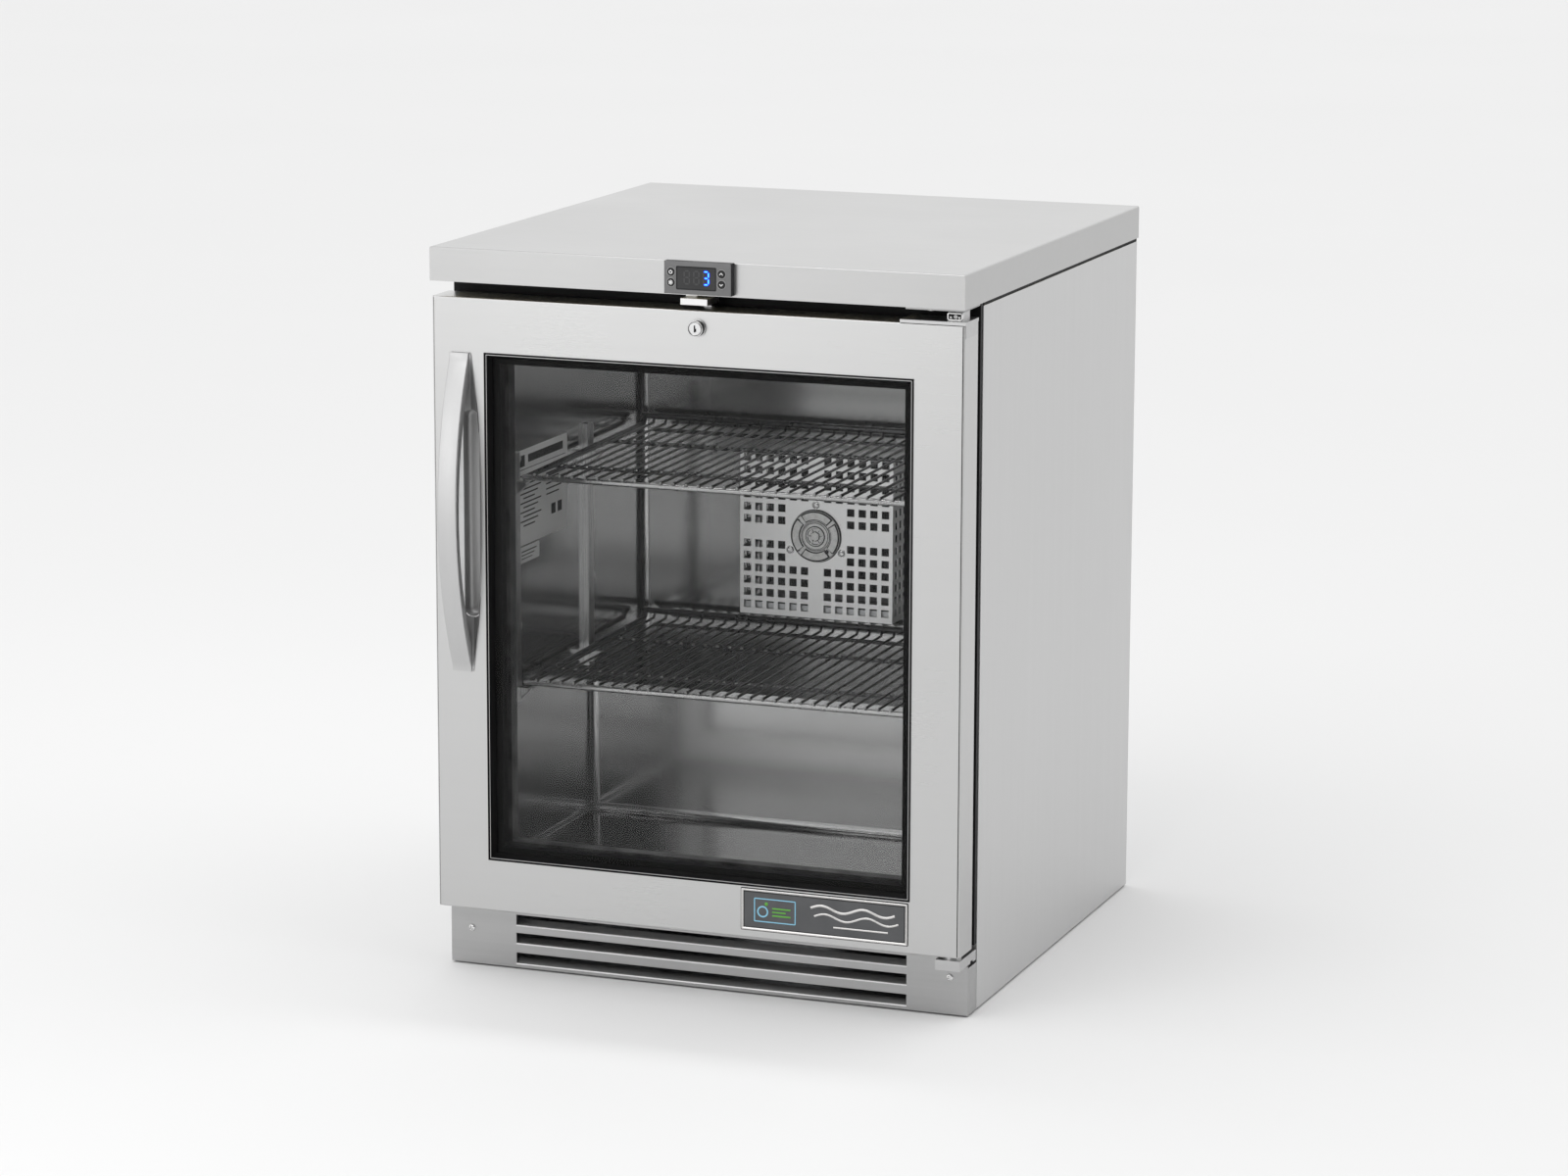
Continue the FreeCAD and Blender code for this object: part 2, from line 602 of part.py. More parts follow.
# hand hold: lens-shaped plate on the face, with a round-ended well behind the handle
HX0, HX1, HZ0, HZ1 = -287.0, -259.0, 343.0, 696.0
zm = (HZ0 + HZ1) / 2


def three_point(p, q, r):
    return Part.Arc(V(p[0], p[1], 0), V(q[0], q[1], 0), V(r[0], r[1], 0))


b = body("handle_cup_body")
pad(b, "cup_plate", "XZ", df - 1.5, df, ("edges", [
    Part.LineSegment(V(HX0, HZ0, 0), V(HX1, HZ0, 0)),
    three_point((HX1, HZ0), (-247.0, zm), (HX1, HZ1)),
    Part.LineSegment(V(HX1, HZ1, 0), V(HX0, HZ1, 0)),
    Part.LineSegment(V(HX0, HZ1, 0), V(HX0, HZ0, 0))]))
pad(b, "cup_well", "XZ", df, 18.6, obround(CUP[0] + 0.3, CUP[1] - 0.3, CUP[2] + 0.3, CUP[3] - 0.3))
pocket(b, "cup_hollow", "XZ", df - 3, 17.2, obround(CUP[0] + 2.3, CUP[1] - 2.3, CUP[2] + 2.3, CUP[3] - 2.3))
node(b, "handle_cup")

b = body("door_handle_body")
yb = n(df) - 1.5
pad(b, "handle_bow", "YZ", -283, -259.5, ("edges", [
    Part.LineSegment(V(yb, HZ0, 0), V(yb, HZ0 + 30, 0)),
    three_point((yb, HZ0 + 30), (-24.5, zm), (yb, HZ1 - 30)),
    Part.LineSegment(V(yb, HZ1 - 30, 0), V(yb, HZ1, 0)),
    three_point((yb, HZ1), (-36.0, zm), (yb, HZ0))]))
node(b, "door_handle")

# badge: shallow tray with a raised border
b = body("badge_plate_body")
pad(b, "badge_block", "XZ", df - 1.8, df, rect(55.5, 246, 83, 129))
pocket(b, "badge_field", "XZ", df - 2, df - 0.9, rect(58.2, 243.3, 85.7, 126.3))
node(b, "badge_plate")

# ---------------------------------------------------------------- lock
lx, lz = D.lock_x, D.lock_z
b = body("lock_barrel_body")
pad(b, "barrel_flange", "XZ", df - 6.2, df, disc(lx, lz, 8.6))
pad(b, "barrel_tube", "XZ", df, 33.4, disc(lx, lz, 7.9))
pocket(b, "barrel_bore", "XZ", -4, 35, disc(lx, lz, 6.5))
node(b, "lock_barrel")

b = body("lock_plug_body")
pad(b, "plug_round", "XZ", df - 6.4, 34.2, disc(lx, lz, 6.44))
pad(b, "plug_cam", "XZ", 34.2, 35.3, rect(lx - 2.5, lx + 2.5, lz - 9, lz + 3))
pocket(b, "plug_keyway", "XZ", -4, 12, rect(lx - 1.3, lx + 0.4, lz - 3.7, lz + 3.7))
pocket(b, "plug_keyway_ward", "XZ", -4, 12, rect(lx - 0.5, lx + 1.5, lz - 3.1, lz + 0.3))
node(b, "lock_plug")

b = body("lock_bolt_body")
pad(b, "bolt_bar", "XY", 727, du + 1.5, rect(lx - 4, lx + 4, 36, 42))
node(b, "lock_bolt")

b = body("lock_strike_body")
pad(b, "strike_plate", "XY", 760, 767, rect(-19, 12, 14, 48))
pocket(b, "strike_slot", "XY", 759, 768, rect(lx - 4.9, lx + 4.9, 35, 43))
pad(b, "strike_stem", "XY", 767, lip_low, rect(-19, -6, 30, 48))
node(b, "lock_strike")

# ---------------------------------------------------------------- hinges
px, py = D.pivot_x, D.pivot_y
b = body("top_hinge_body")
pad(b, "top_hinge_plate_pad", "XY", 770.5, lip_low, rect(238, 303, 5, 56))
pocket(b, "top_hinge_screw_holes", "XY", 770, 774, disc(264, 12, 2), disc(250, 44, 2), disc(278, 48, 2))
pad(b, "top_hinge_pin", "XY", du - 12, 770.5, disc(px, py, 4))
node(b, "top_hinge_plate")

hs = []
for i, (x, y) in enumerate(((264, 12), (250, 44), (278, 48))):
    b = body("hinge_screw_%d" % i)
    pad(b, "hinge_screw_%d_head" % i, "XY", 768.6, 770.5, disc(x, y, 4))
    pad(b, "hinge_screw_%d_shank" % i, "XY", 770.5, 772.9, disc(x, y, 1.98))
    hs.append(b)

b = body("door_hinge_plate_body")
pad(b, "door_hinge_plate_pad", "XY", du, du + 3.5, rect(232, 304.9, df, 46))
pad(b, "door_hinge_plate_ear", "XY", du - 14, du, rect(dh, 304.9, df + 2, 44))
f = pad(b, "cartridge_block", "XY", du + 3.5, 768.3, rect(px - 8.5, px + 8.5, py - 12, py + 14))
round_edges(b, "cartridge_round", f, 2.5, lambda e: (
    e.BoundBox.ZLength > 5 and e.BoundBox.XLength < 1e-3 and e.BoundBox.ZMin > n(du) + 3))
pocket(b, "door_hinge_plate_bore", "XY", du - 1, 769, disc(px, py, 4.06))
node(b, "door_hinge_plate")

b = body("bottom_hinge_body")
f = pad(b, "bottom_hinge_pad", "XY", 68.5, 70, rect(276, dh - 1.5, 9.5, 62))
pad(b, "bottom_hinge_front", "XZ", 8, 9.5, rect(276, dh - 1.5, 58.5, 70))
pad(b, "bottom_hinge_side", "XY", 58.5, 70, rect(dh - 1.5, dh, 8, 62))
pocket(b, "bottom_hinge_side_slot", "YZ", dh - 2, dh + 1, rect(44, 52, 57, 61))
pocket(b, "bottom_hinge_pin_hole", "XY", 68, 71, disc(px, py, 5.0))
node(b, "bottom_hinge_bracket")

b = body("pivot_pin_body")
pad(b, "pivot_pin_head", "XY", 66.2, 68.5, disc(px, py, 7))
pad(b, "pivot_pin_shank", "XY", 68.5, 92, disc(px, py, 4.99))
pin = b
b = body("pivot_washer_body")
pad(b, "pivot_washer_pad", "XY", 70, dl - 0.35, disc(px, py, 10))
pocket(b, "pivot_washer_bore", "XY", 69, dl + 1, disc(px, py, 5.0))
node(group("pivot_group", [pin, b]), "pivot_pin")
b = body("pivot_bush_body")
pad(b, "pivot_bush_pad", "XY", dl, dl + 22, disc(px, py, 7.38))
pocket(b, "pivot_bush_bore", "XY", dl - 1, dl + 20, disc(px, py, 5.06))
node(b, "pivot_bush")

# ================================================================ controller
b = body("controller_body")
f = pad(b, "controller_bezel", "XZ", -9, 0, rect(-28, 48, 775, D.top_high - 0.3))
pad(b, "controller_case", "XZ", 0, 40, rect(CX0, CX1, CZ0, CZ1))
pocket(b, "controller_window", "XZ", -10, -7.4, rect(-13, 30, 781, 803.5))
BUTTONS = [("power", -20.2, 798.2), ("light", -20.2, 787.0), ("up", 37.2, 798.2), ("down", 37.2, 787.0)]
pocket(b, "controller_button_wells", "XZ", -10, -1.9, *[disc(x, z, 4.28) for _, x, z in BUTTONS])
node(b, "controller_housing")

node(box("display_lens_box", -13, 30, -9.2, -7.4, 781, 803.5), "display_lens")

for nm, x, z in BUTTONS:
    b = body("button_%s_body" % nm)
    f = pad(b, "button_%s_pad" % nm, "XZ", -10.2, -3, disc(x, z, 4.2))
    round_edges(b, "button_%s_round" % nm, f, 0.5, lambda e: abs(e.BoundBox.YMax + 10.2) < 1e-3)
    node(b, "button_" + nm)

# ================================================================ shelves and their supports
STANDARDS = [(-1, 107.0), (1, 107.0), (-1, 316.0), (1, 316.0)]
one = []
for s, y in STANDARDS:
    xw = s * n(D.cav_half)
    xi = xw - s * 6
    bar = Part.makeBox(6, 16, 282, V(min(xw, xi), y - 8, 288))
    hollow = Part.makeBox(4.81, 12, 284, V(xw - 4.8 if s > 0 else xw - 0.01, y - 6, 287))
    bar = bar.cut(hollow)
    tools = [Part.makeBox(2.4, 9, 3.2, V(min(xi, xi + s * 2.4) - 0.6, y - 4.5, 294 + 12.5 * k)) for k in range(22)]
    one.append(bar.cut(Part.makeCompound(tools)))
shaped("shelf_standards", Part.makeCompound(one))

clips = []
for zs in (n(D.shelf_up), n(D.shelf_down)):
    top = zs - 1.5 - 6.5 + 0.5 - 0.35
    for s, y in STANDARDS:
        xi = s * (n(D.cav_half) - 6)
        prof = [(xi, top - 13), (xi, top + 0.0), (xi - s * 13, top), (xi - s * 13, top - 3), (xi - s * 2.5, top - 13)]
        w = Part.makePolygon([V(a, y - 5, c) for a, c in prof + prof[:1]])
        clips.append(Part.Face(w).extrude(V(0, 10, 0)))
shaped("shelf_clips", Part.makeCompound(clips))

plugs = []
for s in (-1, 1):
    for y, z in ((122.0, 560.0), (122.0, 371.0), (331.0, 562.0), (331.0, 390.0)):
        c = Part.makeCylinder(5.5, 2.2, V(s * n(D.cav_half), y, z), V(-s, 0, 0))
        edge = [e for e in c.Edges if e.Curve.TypeId == "Part::GeomCircle" and abs(abs(e.Curve.Center.x) - n(D.cav_half) + 2.2) < 1e-6]
        plugs.append(c.makeFillet(1.2, edge))
shaped("wall_plugs", Part.makeCompound(plugs))

def shelf(label, plane_z):
    """Welded wire shelf: front-to-back wires on two cross rods, a front rod and side rods."""
    zw = n(plane_z)
    zr = zw - 1.5 - 3.25 + 0.5
    zc = zw - 1.5 - 2.5 + 0.4
    y0 = n(D.shelf_front)
    X = V(1, 0, 0)
    Y = V(0, 1, 0)
    parts = [
        Part.makeCylinder(3.25, 498, V(-249, y0, zr), X),
        Part.makeCylinder(3.25, 350, V(-244, y0, zr), Y),
        Part.makeCylinder(3.25, 350, V(244, y0, zr), Y),
        Part.makeCylinder(2.5, 488, V(-244, 190, zc), X),
        Part.makeCylinder(2.5, 488, V(-244, 362, zc), X),
        Part.makeCylinder(3.0, 488, V(-244, 465, zw + 11), X),
        Part.makeCylinder(3.25, zw + 11 - zr, V(-244, 465, zr), V(0, 0, 1)),
        Part.makeCylinder(3.25, zw + 11 - zr, V(244, 465, zr), V(0, 0, 1)),
    ]
    pitch = n(D.shelf_pitch)
    k = -15.5
    while k < 16:
        parts.append(Part.makeCylinder(1.5, 465 - y0 + 3.8, V(k * pitch, y0 - 2.4, zw), Y))
        parts.append(Part.makeCylinder(1.5, 11.5, V(k * pitch, 465, zw), V(0, 0, 1)))
        k += 1
    return parts[0].multiFuse(parts[1:])


for label, plane_z in (("shelf_upper", D.shelf_up), ("shelf_lower", D.shelf_down)):
    shaped(label, shelf(label, plane_z))

# ================================================================ evaporator unit
fx, fz = n(D.fan_x), n(D.fan_z)
CVX0, CVX1, CVY, CVZ0, CVZ1 = -92.0, 94.0, 380.0, 349.0, 541.0
b = body("fan_cover_body")
pad(b, "cover_block", "XZ", CVY, D.cav_back, rect(CVX0, CVX1, CVZ0, CVZ1))
pocket(b, "cover_hollow", "XZ", CVY + 1, D.cav_back + 1, rect(CVX0 + 1, CVX1 - 1, CVZ0 + 1, CVZ1 - 1))
pocket(b, "cover_motor_hole", "XZ", CVY - 1, CVY + 2, disc(D.fan_x, D.fan_z, 31))
MSCREW = [(fx + 36 * math.cos(math.radians(a)), fz + 36 * math.sin(math.radians(a))) for a in (90, 210, 330)]
pocket(b, "cover_screw_holes", "XZ", CVY - 1, CVY + 2, *[disc(x, z, 1.8) for x, z in MSCREW])
holes = []
# square holes, twelve columns by twelve rows, with the four inner columns left solid beside the motor
for i in (-6, -5, -4, -3, -2, -1, 1, 2, 3, 4, 5, 6):
    for k in [k for k in range(-6, 7) if k != 0 and (abs(i) > 2 or abs(k) > 2)]:
        holes.append(Part.makeBox(9, 3, 9, V(fx + 14.0 * i - 4.5, CVY - 1, fz + 1 + 14.3 * k - 4.5)))
rows = [fz + 1 + 14.3 * k for k in range(-6, 7)]
for cy in [CVY + 13 + 14.0 * k for k in range(7)]:
    for cz in rows:
        for xs in (CVX0 - 1, CVX1 - 2):
            holes.append(Part.makeBox(3, 9, 9, V(xs, cy - 4.5, cz - 4.5)))
grid = doc.addObject("Part::Feature", "cover_perforation")
grid.Shape = Part.makeCompound(holes)
node(cut("fan_cover_cut", b, grid), "fan_cover")

# fan motor: face disc, mounting flange, can and shaft, turned about the fan axis
b = body("fan_motor_body")
pad(b, "motor_face", "XZ", CVY - 2, CVY + 1, disc(D.fan_x, D.fan_z, 30))
pad(b, "motor_flange", "XZ", CVY + 1, CVY + 3, disc(D.fan_x, D.fan_z, 42))
pad(b, "motor_can", "XZ", CVY + 3, CVY + 32, disc(D.fan_x, D.fan_z, 27))
pad(b, "motor_shaft", "XZ", CVY + 32, CVY + 50, disc(D.fan_x, D.fan_z, 3))
pocket(b, "motor_screw_holes", "XZ", CVY, CVY + 4, *[disc(x, z, 1.8) for x, z in MSCREW])
node(b, "fan_motor")

ms = []
for i, (x, z) in enumerate(MSCREW):
    b = body("motor_screw_%d" % i)
    pad(b, "motor_screw_%d_head" % i, "XZ", CVY - 1.8, CVY, disc(x, z, 3.4))
    pad(b, "motor_screw_%d_shank" % i, "XZ", CVY, CVY + 6, disc(x, z, 1.78))
    ms.append(b)
node(group("screw_group", screws + hs + ms), "screws")


def fan(label, cx, cz, y0, depth, hub_r, tip_r, bore_r, blades, twist):
    """Axial fan: a bored hub and blades cut from twisted plates, one solid."""
    hub = Part.makeCylinder(hub_r, depth, V(cx, y0, cz), V(0, 1, 0))
    out = []
    for k in range(blades):
        a = Part.makeBox(tip_r - hub_r + 3, 1.6, 0.62 * tip_r, V(hub_r - 3, -0.8, -0.31 * tip_r))
        a.rotate(V(0, 0, 0), V(1, 0, 0), 90 + twist)
        a.rotate(V(0, 0, 0), V(0, 1, 0), 360.0 * k / blades)
        a.translate(V(cx, y0 + depth / 2, cz))
        out.append(a)
    ring = Part.makeCylinder(tip_r, depth, V(cx, y0, cz), V(0, 1, 0))
    shape = hub.multiFuse(out).common(ring)
    shape = shape.cut(Part.makeCylinder(bore_r, depth + 2, V(cx, y0 - 1, cz), V(0, 1, 0)))
    return shape.removeSplitter()


shaped("evaporator_fan", fan("evaporator_fan", fx, fz, CVY + 34, 16, 13, 70, 3.05, 5, 62))

# finned coil with return bends at both ends
b = body("evaporator_coil_body")
pad(b, "coil_fins", "XZ", 440, 478, rect(-78, 80, 366, 528))
pad(b, "coil_bends", "YZ", -86, -78, *[disc(459, 380 + 22 * k, 5) for k in range(7)])
pad(b, "coil_bends_right", "YZ", 80, 88, *[disc(459, 380 + 22 * k, 5) for k in range(7)])
node(b, "evaporator_coil")

b = body("drip_tray_body")
pad(b, "drip_tray_block", "XY", 350, 362, rect(-88, 90, 384, 480))
pocket(b, "drip_tray_hollow", "XY", 351.2, 363, rect(-86.8, 88.8, 385.2, 478.8))
tray = b

# ================================================================ machinery bay
CX, CY = -190.0, 500.0
b = body("compressor_body")
sk = sketch(b, "compressor_profile", "XZ", -CY)
polygon(sk, [(CX, 24), (CX + 58, 24), (CX + 70, 38), (CX + 72, 60), (CX + 72, 128), (CX + 66, 152),
             (CX + 50, 172), (CX + 30, 180), (CX, 180)])
rev = b.newObject("PartDesign::Revolution", "compressor_turn")
rev.Profile = sk
axis = sk.GeometryCount - 1
rev.ReferenceAxis = (sk, ["Edge%d" % (axis + 1)])
rev.Angle = 360
b.Tip = rev
doc.recompute()
if b.Shape.Volume < 1.8e6:
    raise RuntimeError("the compressor shell didn't turn fully")
pad(b, "compressor_feet", "XY", 21.5, 25, rect(CX - 92, CX + 92, CY - 46, CY + 46))
CFEET = [(CX + a, CY + c) for a in (-82, 82) for c in (-36, 36)]
pocket(b, "compressor_foot_holes", "XY", 21, 26, *[disc(x, y, 5) for x, y in CFEET])
node(b, "compressor")
node(group("grommet_group", [
    fuse("grommet_%d" % i, rod("grommet_base_%d" % i, "Z", (x, y, 9.5), 12, 9),
         rod("grommet_neck_%d" % i, "Z", (x, y, 21.5), 6, 4.9)) for i, (x, y) in enumerate(CFEET)]),
    "compressor_grommets")

b = body("condenser_coil_body")
pad(b, "condenser_fins", "XZ", 392, 432, rect(20, 240, 14, 170))
pad(b, "condenser_bends", "YZ", 12, 20, *[disc(412, 30 + 21 * k, 5) for k in range(7)])
pad(b, "condenser_bends_right", "YZ", 240, 248, *[disc(412, 30 + 21 * k, 5) for k in range(7)])
pad(b, "condenser_legs", "XY", 9.5, 14, rect(20, 34, 392, 432), rect(226, 240, 392, 432))
node(b, "condenser_coil")

b = body("fan_shroud_body")
pad(b, "shroud_plate", "XZ", 432, 434, rect(20, 240, 9.5, 170))
pocket(b, "shroud_hole", "XZ", 431, 435, disc(D.cfan_x, D.cfan_z, 71))
node(b, "condenser_shroud")

cx, cz = n(D.cfan_x), n(D.cfan_z)
shaped("condenser_fan", fan("condenser_fan", cx, cz, 438, 20, 15, 67, 3.05, 5, 60))

b = body("condenser_motor_body")
pad(b, "condenser_motor_can", "XZ", 464, 512, disc(D.cfan_x, D.cfan_z, 30))
pad(b, "condenser_motor_shaft", "XZ", 440, 464, disc(D.cfan_x, D.cfan_z, 3))
pad(b, "condenser_motor_arms", "XZ", 500, 503, rect(22, 238, D.cfan_z - 8, D.cfan_z + 8))
pad(b, "condenser_motor_legs", "XZ", 434, 503,
    rect(22, 25, D.cfan_z - 8, D.cfan_z + 8), rect(235, 238, D.cfan_z - 8, D.cfan_z + 8))
node(b, "condenser_fan_motor")

b = body("condensate_pan_body")
pad(b, "condensate_block", "XY", 9.5, 34, rect(-60, 80, 545, 615))
pocket(b, "condensate_hollow", "XY", 11, 35, rect(-58.5, 78.5, 546.5, 613.5))
node(b, "condensate_pan")

b = body("filter_drier_body")
f = pad(b, "drier_can", "XY", 72, 148, disc(268, 470, 10))
round_edges(b, "drier_round", f, 4, lambda e: e.BoundBox.ZLength < 1e-3)
drier = b

b = body("control_box_body")
pad(b, "control_box_pad", "XY", 240, 330, rect(90, 230, wb + t, 606))
pocket(b, "control_box_hollow", "XY", 242, 328, rect(92, 228, wb + t + 2, 604))
pocket(b, "control_box_gland", "XY", 239, 243, disc(160, 576, 8))
node(b, "control_box")

tube = doc.addObject("Part::Feature", "drain_pipe")
tube.Shape = pipe([(10, 480, 356), (10, 590, 356), (10, 590, 46)], 6, 26)
node(group("drain_group", [tray, tube]), "drip_tray_and_drain")
lines = doc.addObject("Part::Feature", "line_set")
lines.Shape = Part.makeCompound([
    pipe([(-175, 500, 180), (-175, 500, 206), (60, 500, 206), (60, 412, 206), (60, 412, 170)], 3, 15),
    pipe([(200, 412, 170), (200, 412, 196), (268, 412, 196), (268, 470, 196), (268, 470, 148)], 2.5, 14),
    pipe([(268, 470, 72), (268, 470, 44), (268, 588, 44), (268, 588, 400), (60, 588, 400), (60, 478, 400)], 2, 14),
    pipe([(-50, 478, 430), (-50, 588, 430), (-205, 588, 430), (-205, 588, 204), (-205, 500, 204), (-205, 500, 180)], 4, 16),
])
node(group("line_group", [drier, lines]), "refrigerant_lines")

# ================================================================ checks and output
doc.recompute()
bad = [o.Name for o in doc.Objects if "Invalid" in o.State or "Error" in o.State]
if bad:
    raise RuntimeError("failed objects: %s" % bad)
if len(NODES) > 60:
    raise RuntimeError("%d nodes are too many" % len(NODES))
for label, o in NODES:
    shape = o.Shape
    if shape.isNull() or not shape.isValid() or not shape.Solids or shape.Volume <= 0:
        raise RuntimeError("bad shape: %s" % label)
for old in os.listdir("parts"):
    if old.endswith(".step"):
        os.remove(os.path.join("parts", old))
for label, o in NODES:
    o.Shape.exportStep(os.path.join("parts", label + ".step"))
print(len(NODES), "pieces written")
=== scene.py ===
import math

import bpy
from mathutils import Matrix, Vector


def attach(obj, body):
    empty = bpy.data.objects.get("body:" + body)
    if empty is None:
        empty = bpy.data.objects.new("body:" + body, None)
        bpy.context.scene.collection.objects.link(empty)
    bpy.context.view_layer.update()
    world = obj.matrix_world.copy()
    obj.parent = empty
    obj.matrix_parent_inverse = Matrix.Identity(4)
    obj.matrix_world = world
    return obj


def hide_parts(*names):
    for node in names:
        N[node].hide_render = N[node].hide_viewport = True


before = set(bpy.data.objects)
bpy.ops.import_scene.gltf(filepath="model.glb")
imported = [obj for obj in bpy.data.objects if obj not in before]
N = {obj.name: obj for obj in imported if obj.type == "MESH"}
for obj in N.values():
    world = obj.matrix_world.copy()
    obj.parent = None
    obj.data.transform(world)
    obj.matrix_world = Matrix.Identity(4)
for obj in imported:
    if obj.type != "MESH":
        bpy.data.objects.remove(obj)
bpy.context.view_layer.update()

Y0 = 296.5  # pieces are drawn in millimetres with y = 0 on the worktop's front lip


def row(p):
    return Vector((p[0] / 1000.0, (p[1] - Y0) / 1000.0, p[2] / 1000.0))


# ------------------------------------------------------------------ materials
class Tree:
    """A material's node tree with short calls for the nodes used here."""

    def __init__(self, name):
        self.m = bpy.data.materials.new(name)
        self.m.use_nodes = True
        self.t = self.m.node_tree
        self.b = self.t.nodes["Principled BSDF"]
        self.out = self.t.nodes["Material Output"]
        self.co = self.t.nodes.new("ShaderNodeTexCoord").outputs["Object"]

    def link(self, a, b):
        self.t.links.new(a, b)

    def coords(self, scale):
        n = self.t.nodes.new("ShaderNodeMapping")
        n.inputs["Scale"].default_value = scale
        self.link(self.co, n.inputs["Vector"])
        return n.outputs["Vector"]

    def noise(self, scale, detail=2.0, stretch=None, rough=0.5):
        n = self.t.nodes.new("ShaderNodeTexNoise")
        n.inputs["Scale"].default_value = scale
        n.inputs["Detail"].default_value = detail
        n.inputs["Roughness"].default_value = rough
        self.link(self.coords(stretch) if stretch else self.co, n.inputs["Vector"])
        return n.outputs["Fac"]

    def ramp(self, fac, low, high, a=0.0, b=1.0):
        n = self.t.nodes.new("ShaderNodeMapRange")
        n.inputs["From Min"].default_value = low
        n.inputs["From Max"].default_value = high
        n.inputs["To Min"].default_value = a
        n.inputs["To Max"].default_value = b
        self.link(fac, n.inputs["Value"])
        return n.outputs["Result"]

    def add(self, a, b, op="ADD"):
        n = self.t.nodes.new("ShaderNodeMath")
        n.operation = op
        self.link(a, n.inputs[0])
        if isinstance(b, (int, float)):
            n.inputs[1].default_value = b
        else:
            self.link(b, n.inputs[1])
        return n.outputs[0]

    def colours(self, fac, one, two):
        n = self.t.nodes.new("ShaderNodeMix")
        n.data_type = "RGBA"
        n.inputs[6].default_value = (*one, 1)
        n.inputs[7].default_value = (*two, 1)
        self.link(fac, n.inputs[0])
        return n.outputs[2]

    def bump(self, height, strength, distance, after=None):
        n = self.t.nodes.new("ShaderNodeBump")
        n.inputs["Strength"].default_value = strength
        n.inputs["Distance"].default_value = distance
        self.link(height, n.inputs["Height"])
        if after is not None:
            self.link(after, n.inputs["Normal"])
        return n.outputs["Normal"]


def shade(c, k):
    return tuple(max(0.0, min(1.0, x * k)) for x in c)


def brushed(name, base, rough, axis="x", fine=1400.0, broad=120.0, amount=0.05, spread=0.10, cloud=0.05, bump=0.12, metal=1.0):
    """Brushed sheet: fine scratches along one axis, broader streaks, and cloudy wipe marks."""
    t = Tree(name)
    s = {"x": (0.012, 1, 1), "y": (1, 0.012, 1), "z": (1, 1, 0.012)}[axis]
    f = t.noise(fine, 2.0, s)
    g = t.noise(broad, 3.0, s)
    c = t.noise(5.0, 3.0)
    k = t.add(t.ramp(g, 0.3, 0.7, 0.0, 0.6), t.ramp(c, 0.3, 0.7, 0.0, 0.4))
    t.link(t.colours(k, shade(base, 1 - amount), shade(base, 1 + amount)), t.b.inputs["Base Color"])
    r = t.add(t.ramp(f, 0.25, 0.75, rough - spread / 2, rough + spread / 2), t.ramp(c, 0.3, 0.7, -cloud / 2, cloud / 2))
    t.link(r, t.b.inputs["Roughness"])
    t.b.inputs["Metallic"].default_value = metal
    t.link(t.bump(f, bump, 0.0002), t.b.inputs["Normal"])
    return t.m


def moulded(name, base, rough, grain=700.0, bump=0.25, depth=0.0002, amount=0.15, metal=0.0, spread=0.12, specular=0.5, cloud=40.0):
    """Moulded or cast surface: fine grain in the height, patchy gloss and a little colour variation."""
    t = Tree(name)
    f = t.noise(grain, 3.0)
    c = t.noise(cloud, 4.0)
    t.link(t.colours(t.ramp(c, 0.3, 0.7), shade(base, 1 - amount), shade(base, 1 + amount)), t.b.inputs["Base Color"])
    t.link(t.ramp(c, 0.3, 0.7, rough - spread / 2, rough + spread / 2), t.b.inputs["Roughness"])
    t.b.inputs["Metallic"].default_value = metal
    t.b.inputs["Specular IOR Level"].default_value = specular
    t.link(t.bump(f, bump, depth), t.b.inputs["Normal"])
    return t.m


def pane(name, tint, reflect):
    """Clear glass pane: light and sight pass straight through it, with a glossy reflection by angle and faint wipe marks."""
    t = Tree(name)
    nt = t.t
    nt.nodes.remove(t.b)
    clear = nt.nodes.new("ShaderNodeBsdfTransparent")
    clear.inputs["Color"].default_value = (*tint, 1)
    gloss = nt.nodes.new("ShaderNodeBsdfGlossy")
    gloss.inputs["Color"].default_value = (1, 1, 1, 1)
    c = t.noise(9.0, 3.0, (1, 1, 0.35))
    t.link(t.ramp(c, 0.35, 0.75, 0.0, 0.06), gloss.inputs["Roughness"])
    fres = nt.nodes.new("ShaderNodeFresnel")
    fres.inputs["IOR"].default_value = 1.45
    mix = nt.nodes.new("ShaderNodeMixShader")
    t.link(t.add(fres.outputs[0], reflect, "MULTIPLY"), mix.inputs["Fac"])
    t.link(clear.outputs[0], mix.inputs[1])
    t.link(gloss.outputs[0], mix.inputs[2])
    t.link(mix.outputs[0], t.out.inputs["Surface"])
    return t.m


def glow(name, base, light, strength):
    t = Tree(name)
    c = t.noise(900.0, 1.0)
    t.link(t.colours(c, shade(base, 0.85), base), t.b.inputs["Base Color"])
    t.b.inputs["Roughness"].default_value = 0.3
    t.b.inputs["Emission Color"].default_value = (*light, 1)
    t.b.inputs["Emission Strength"].default_value = strength
    return t.m


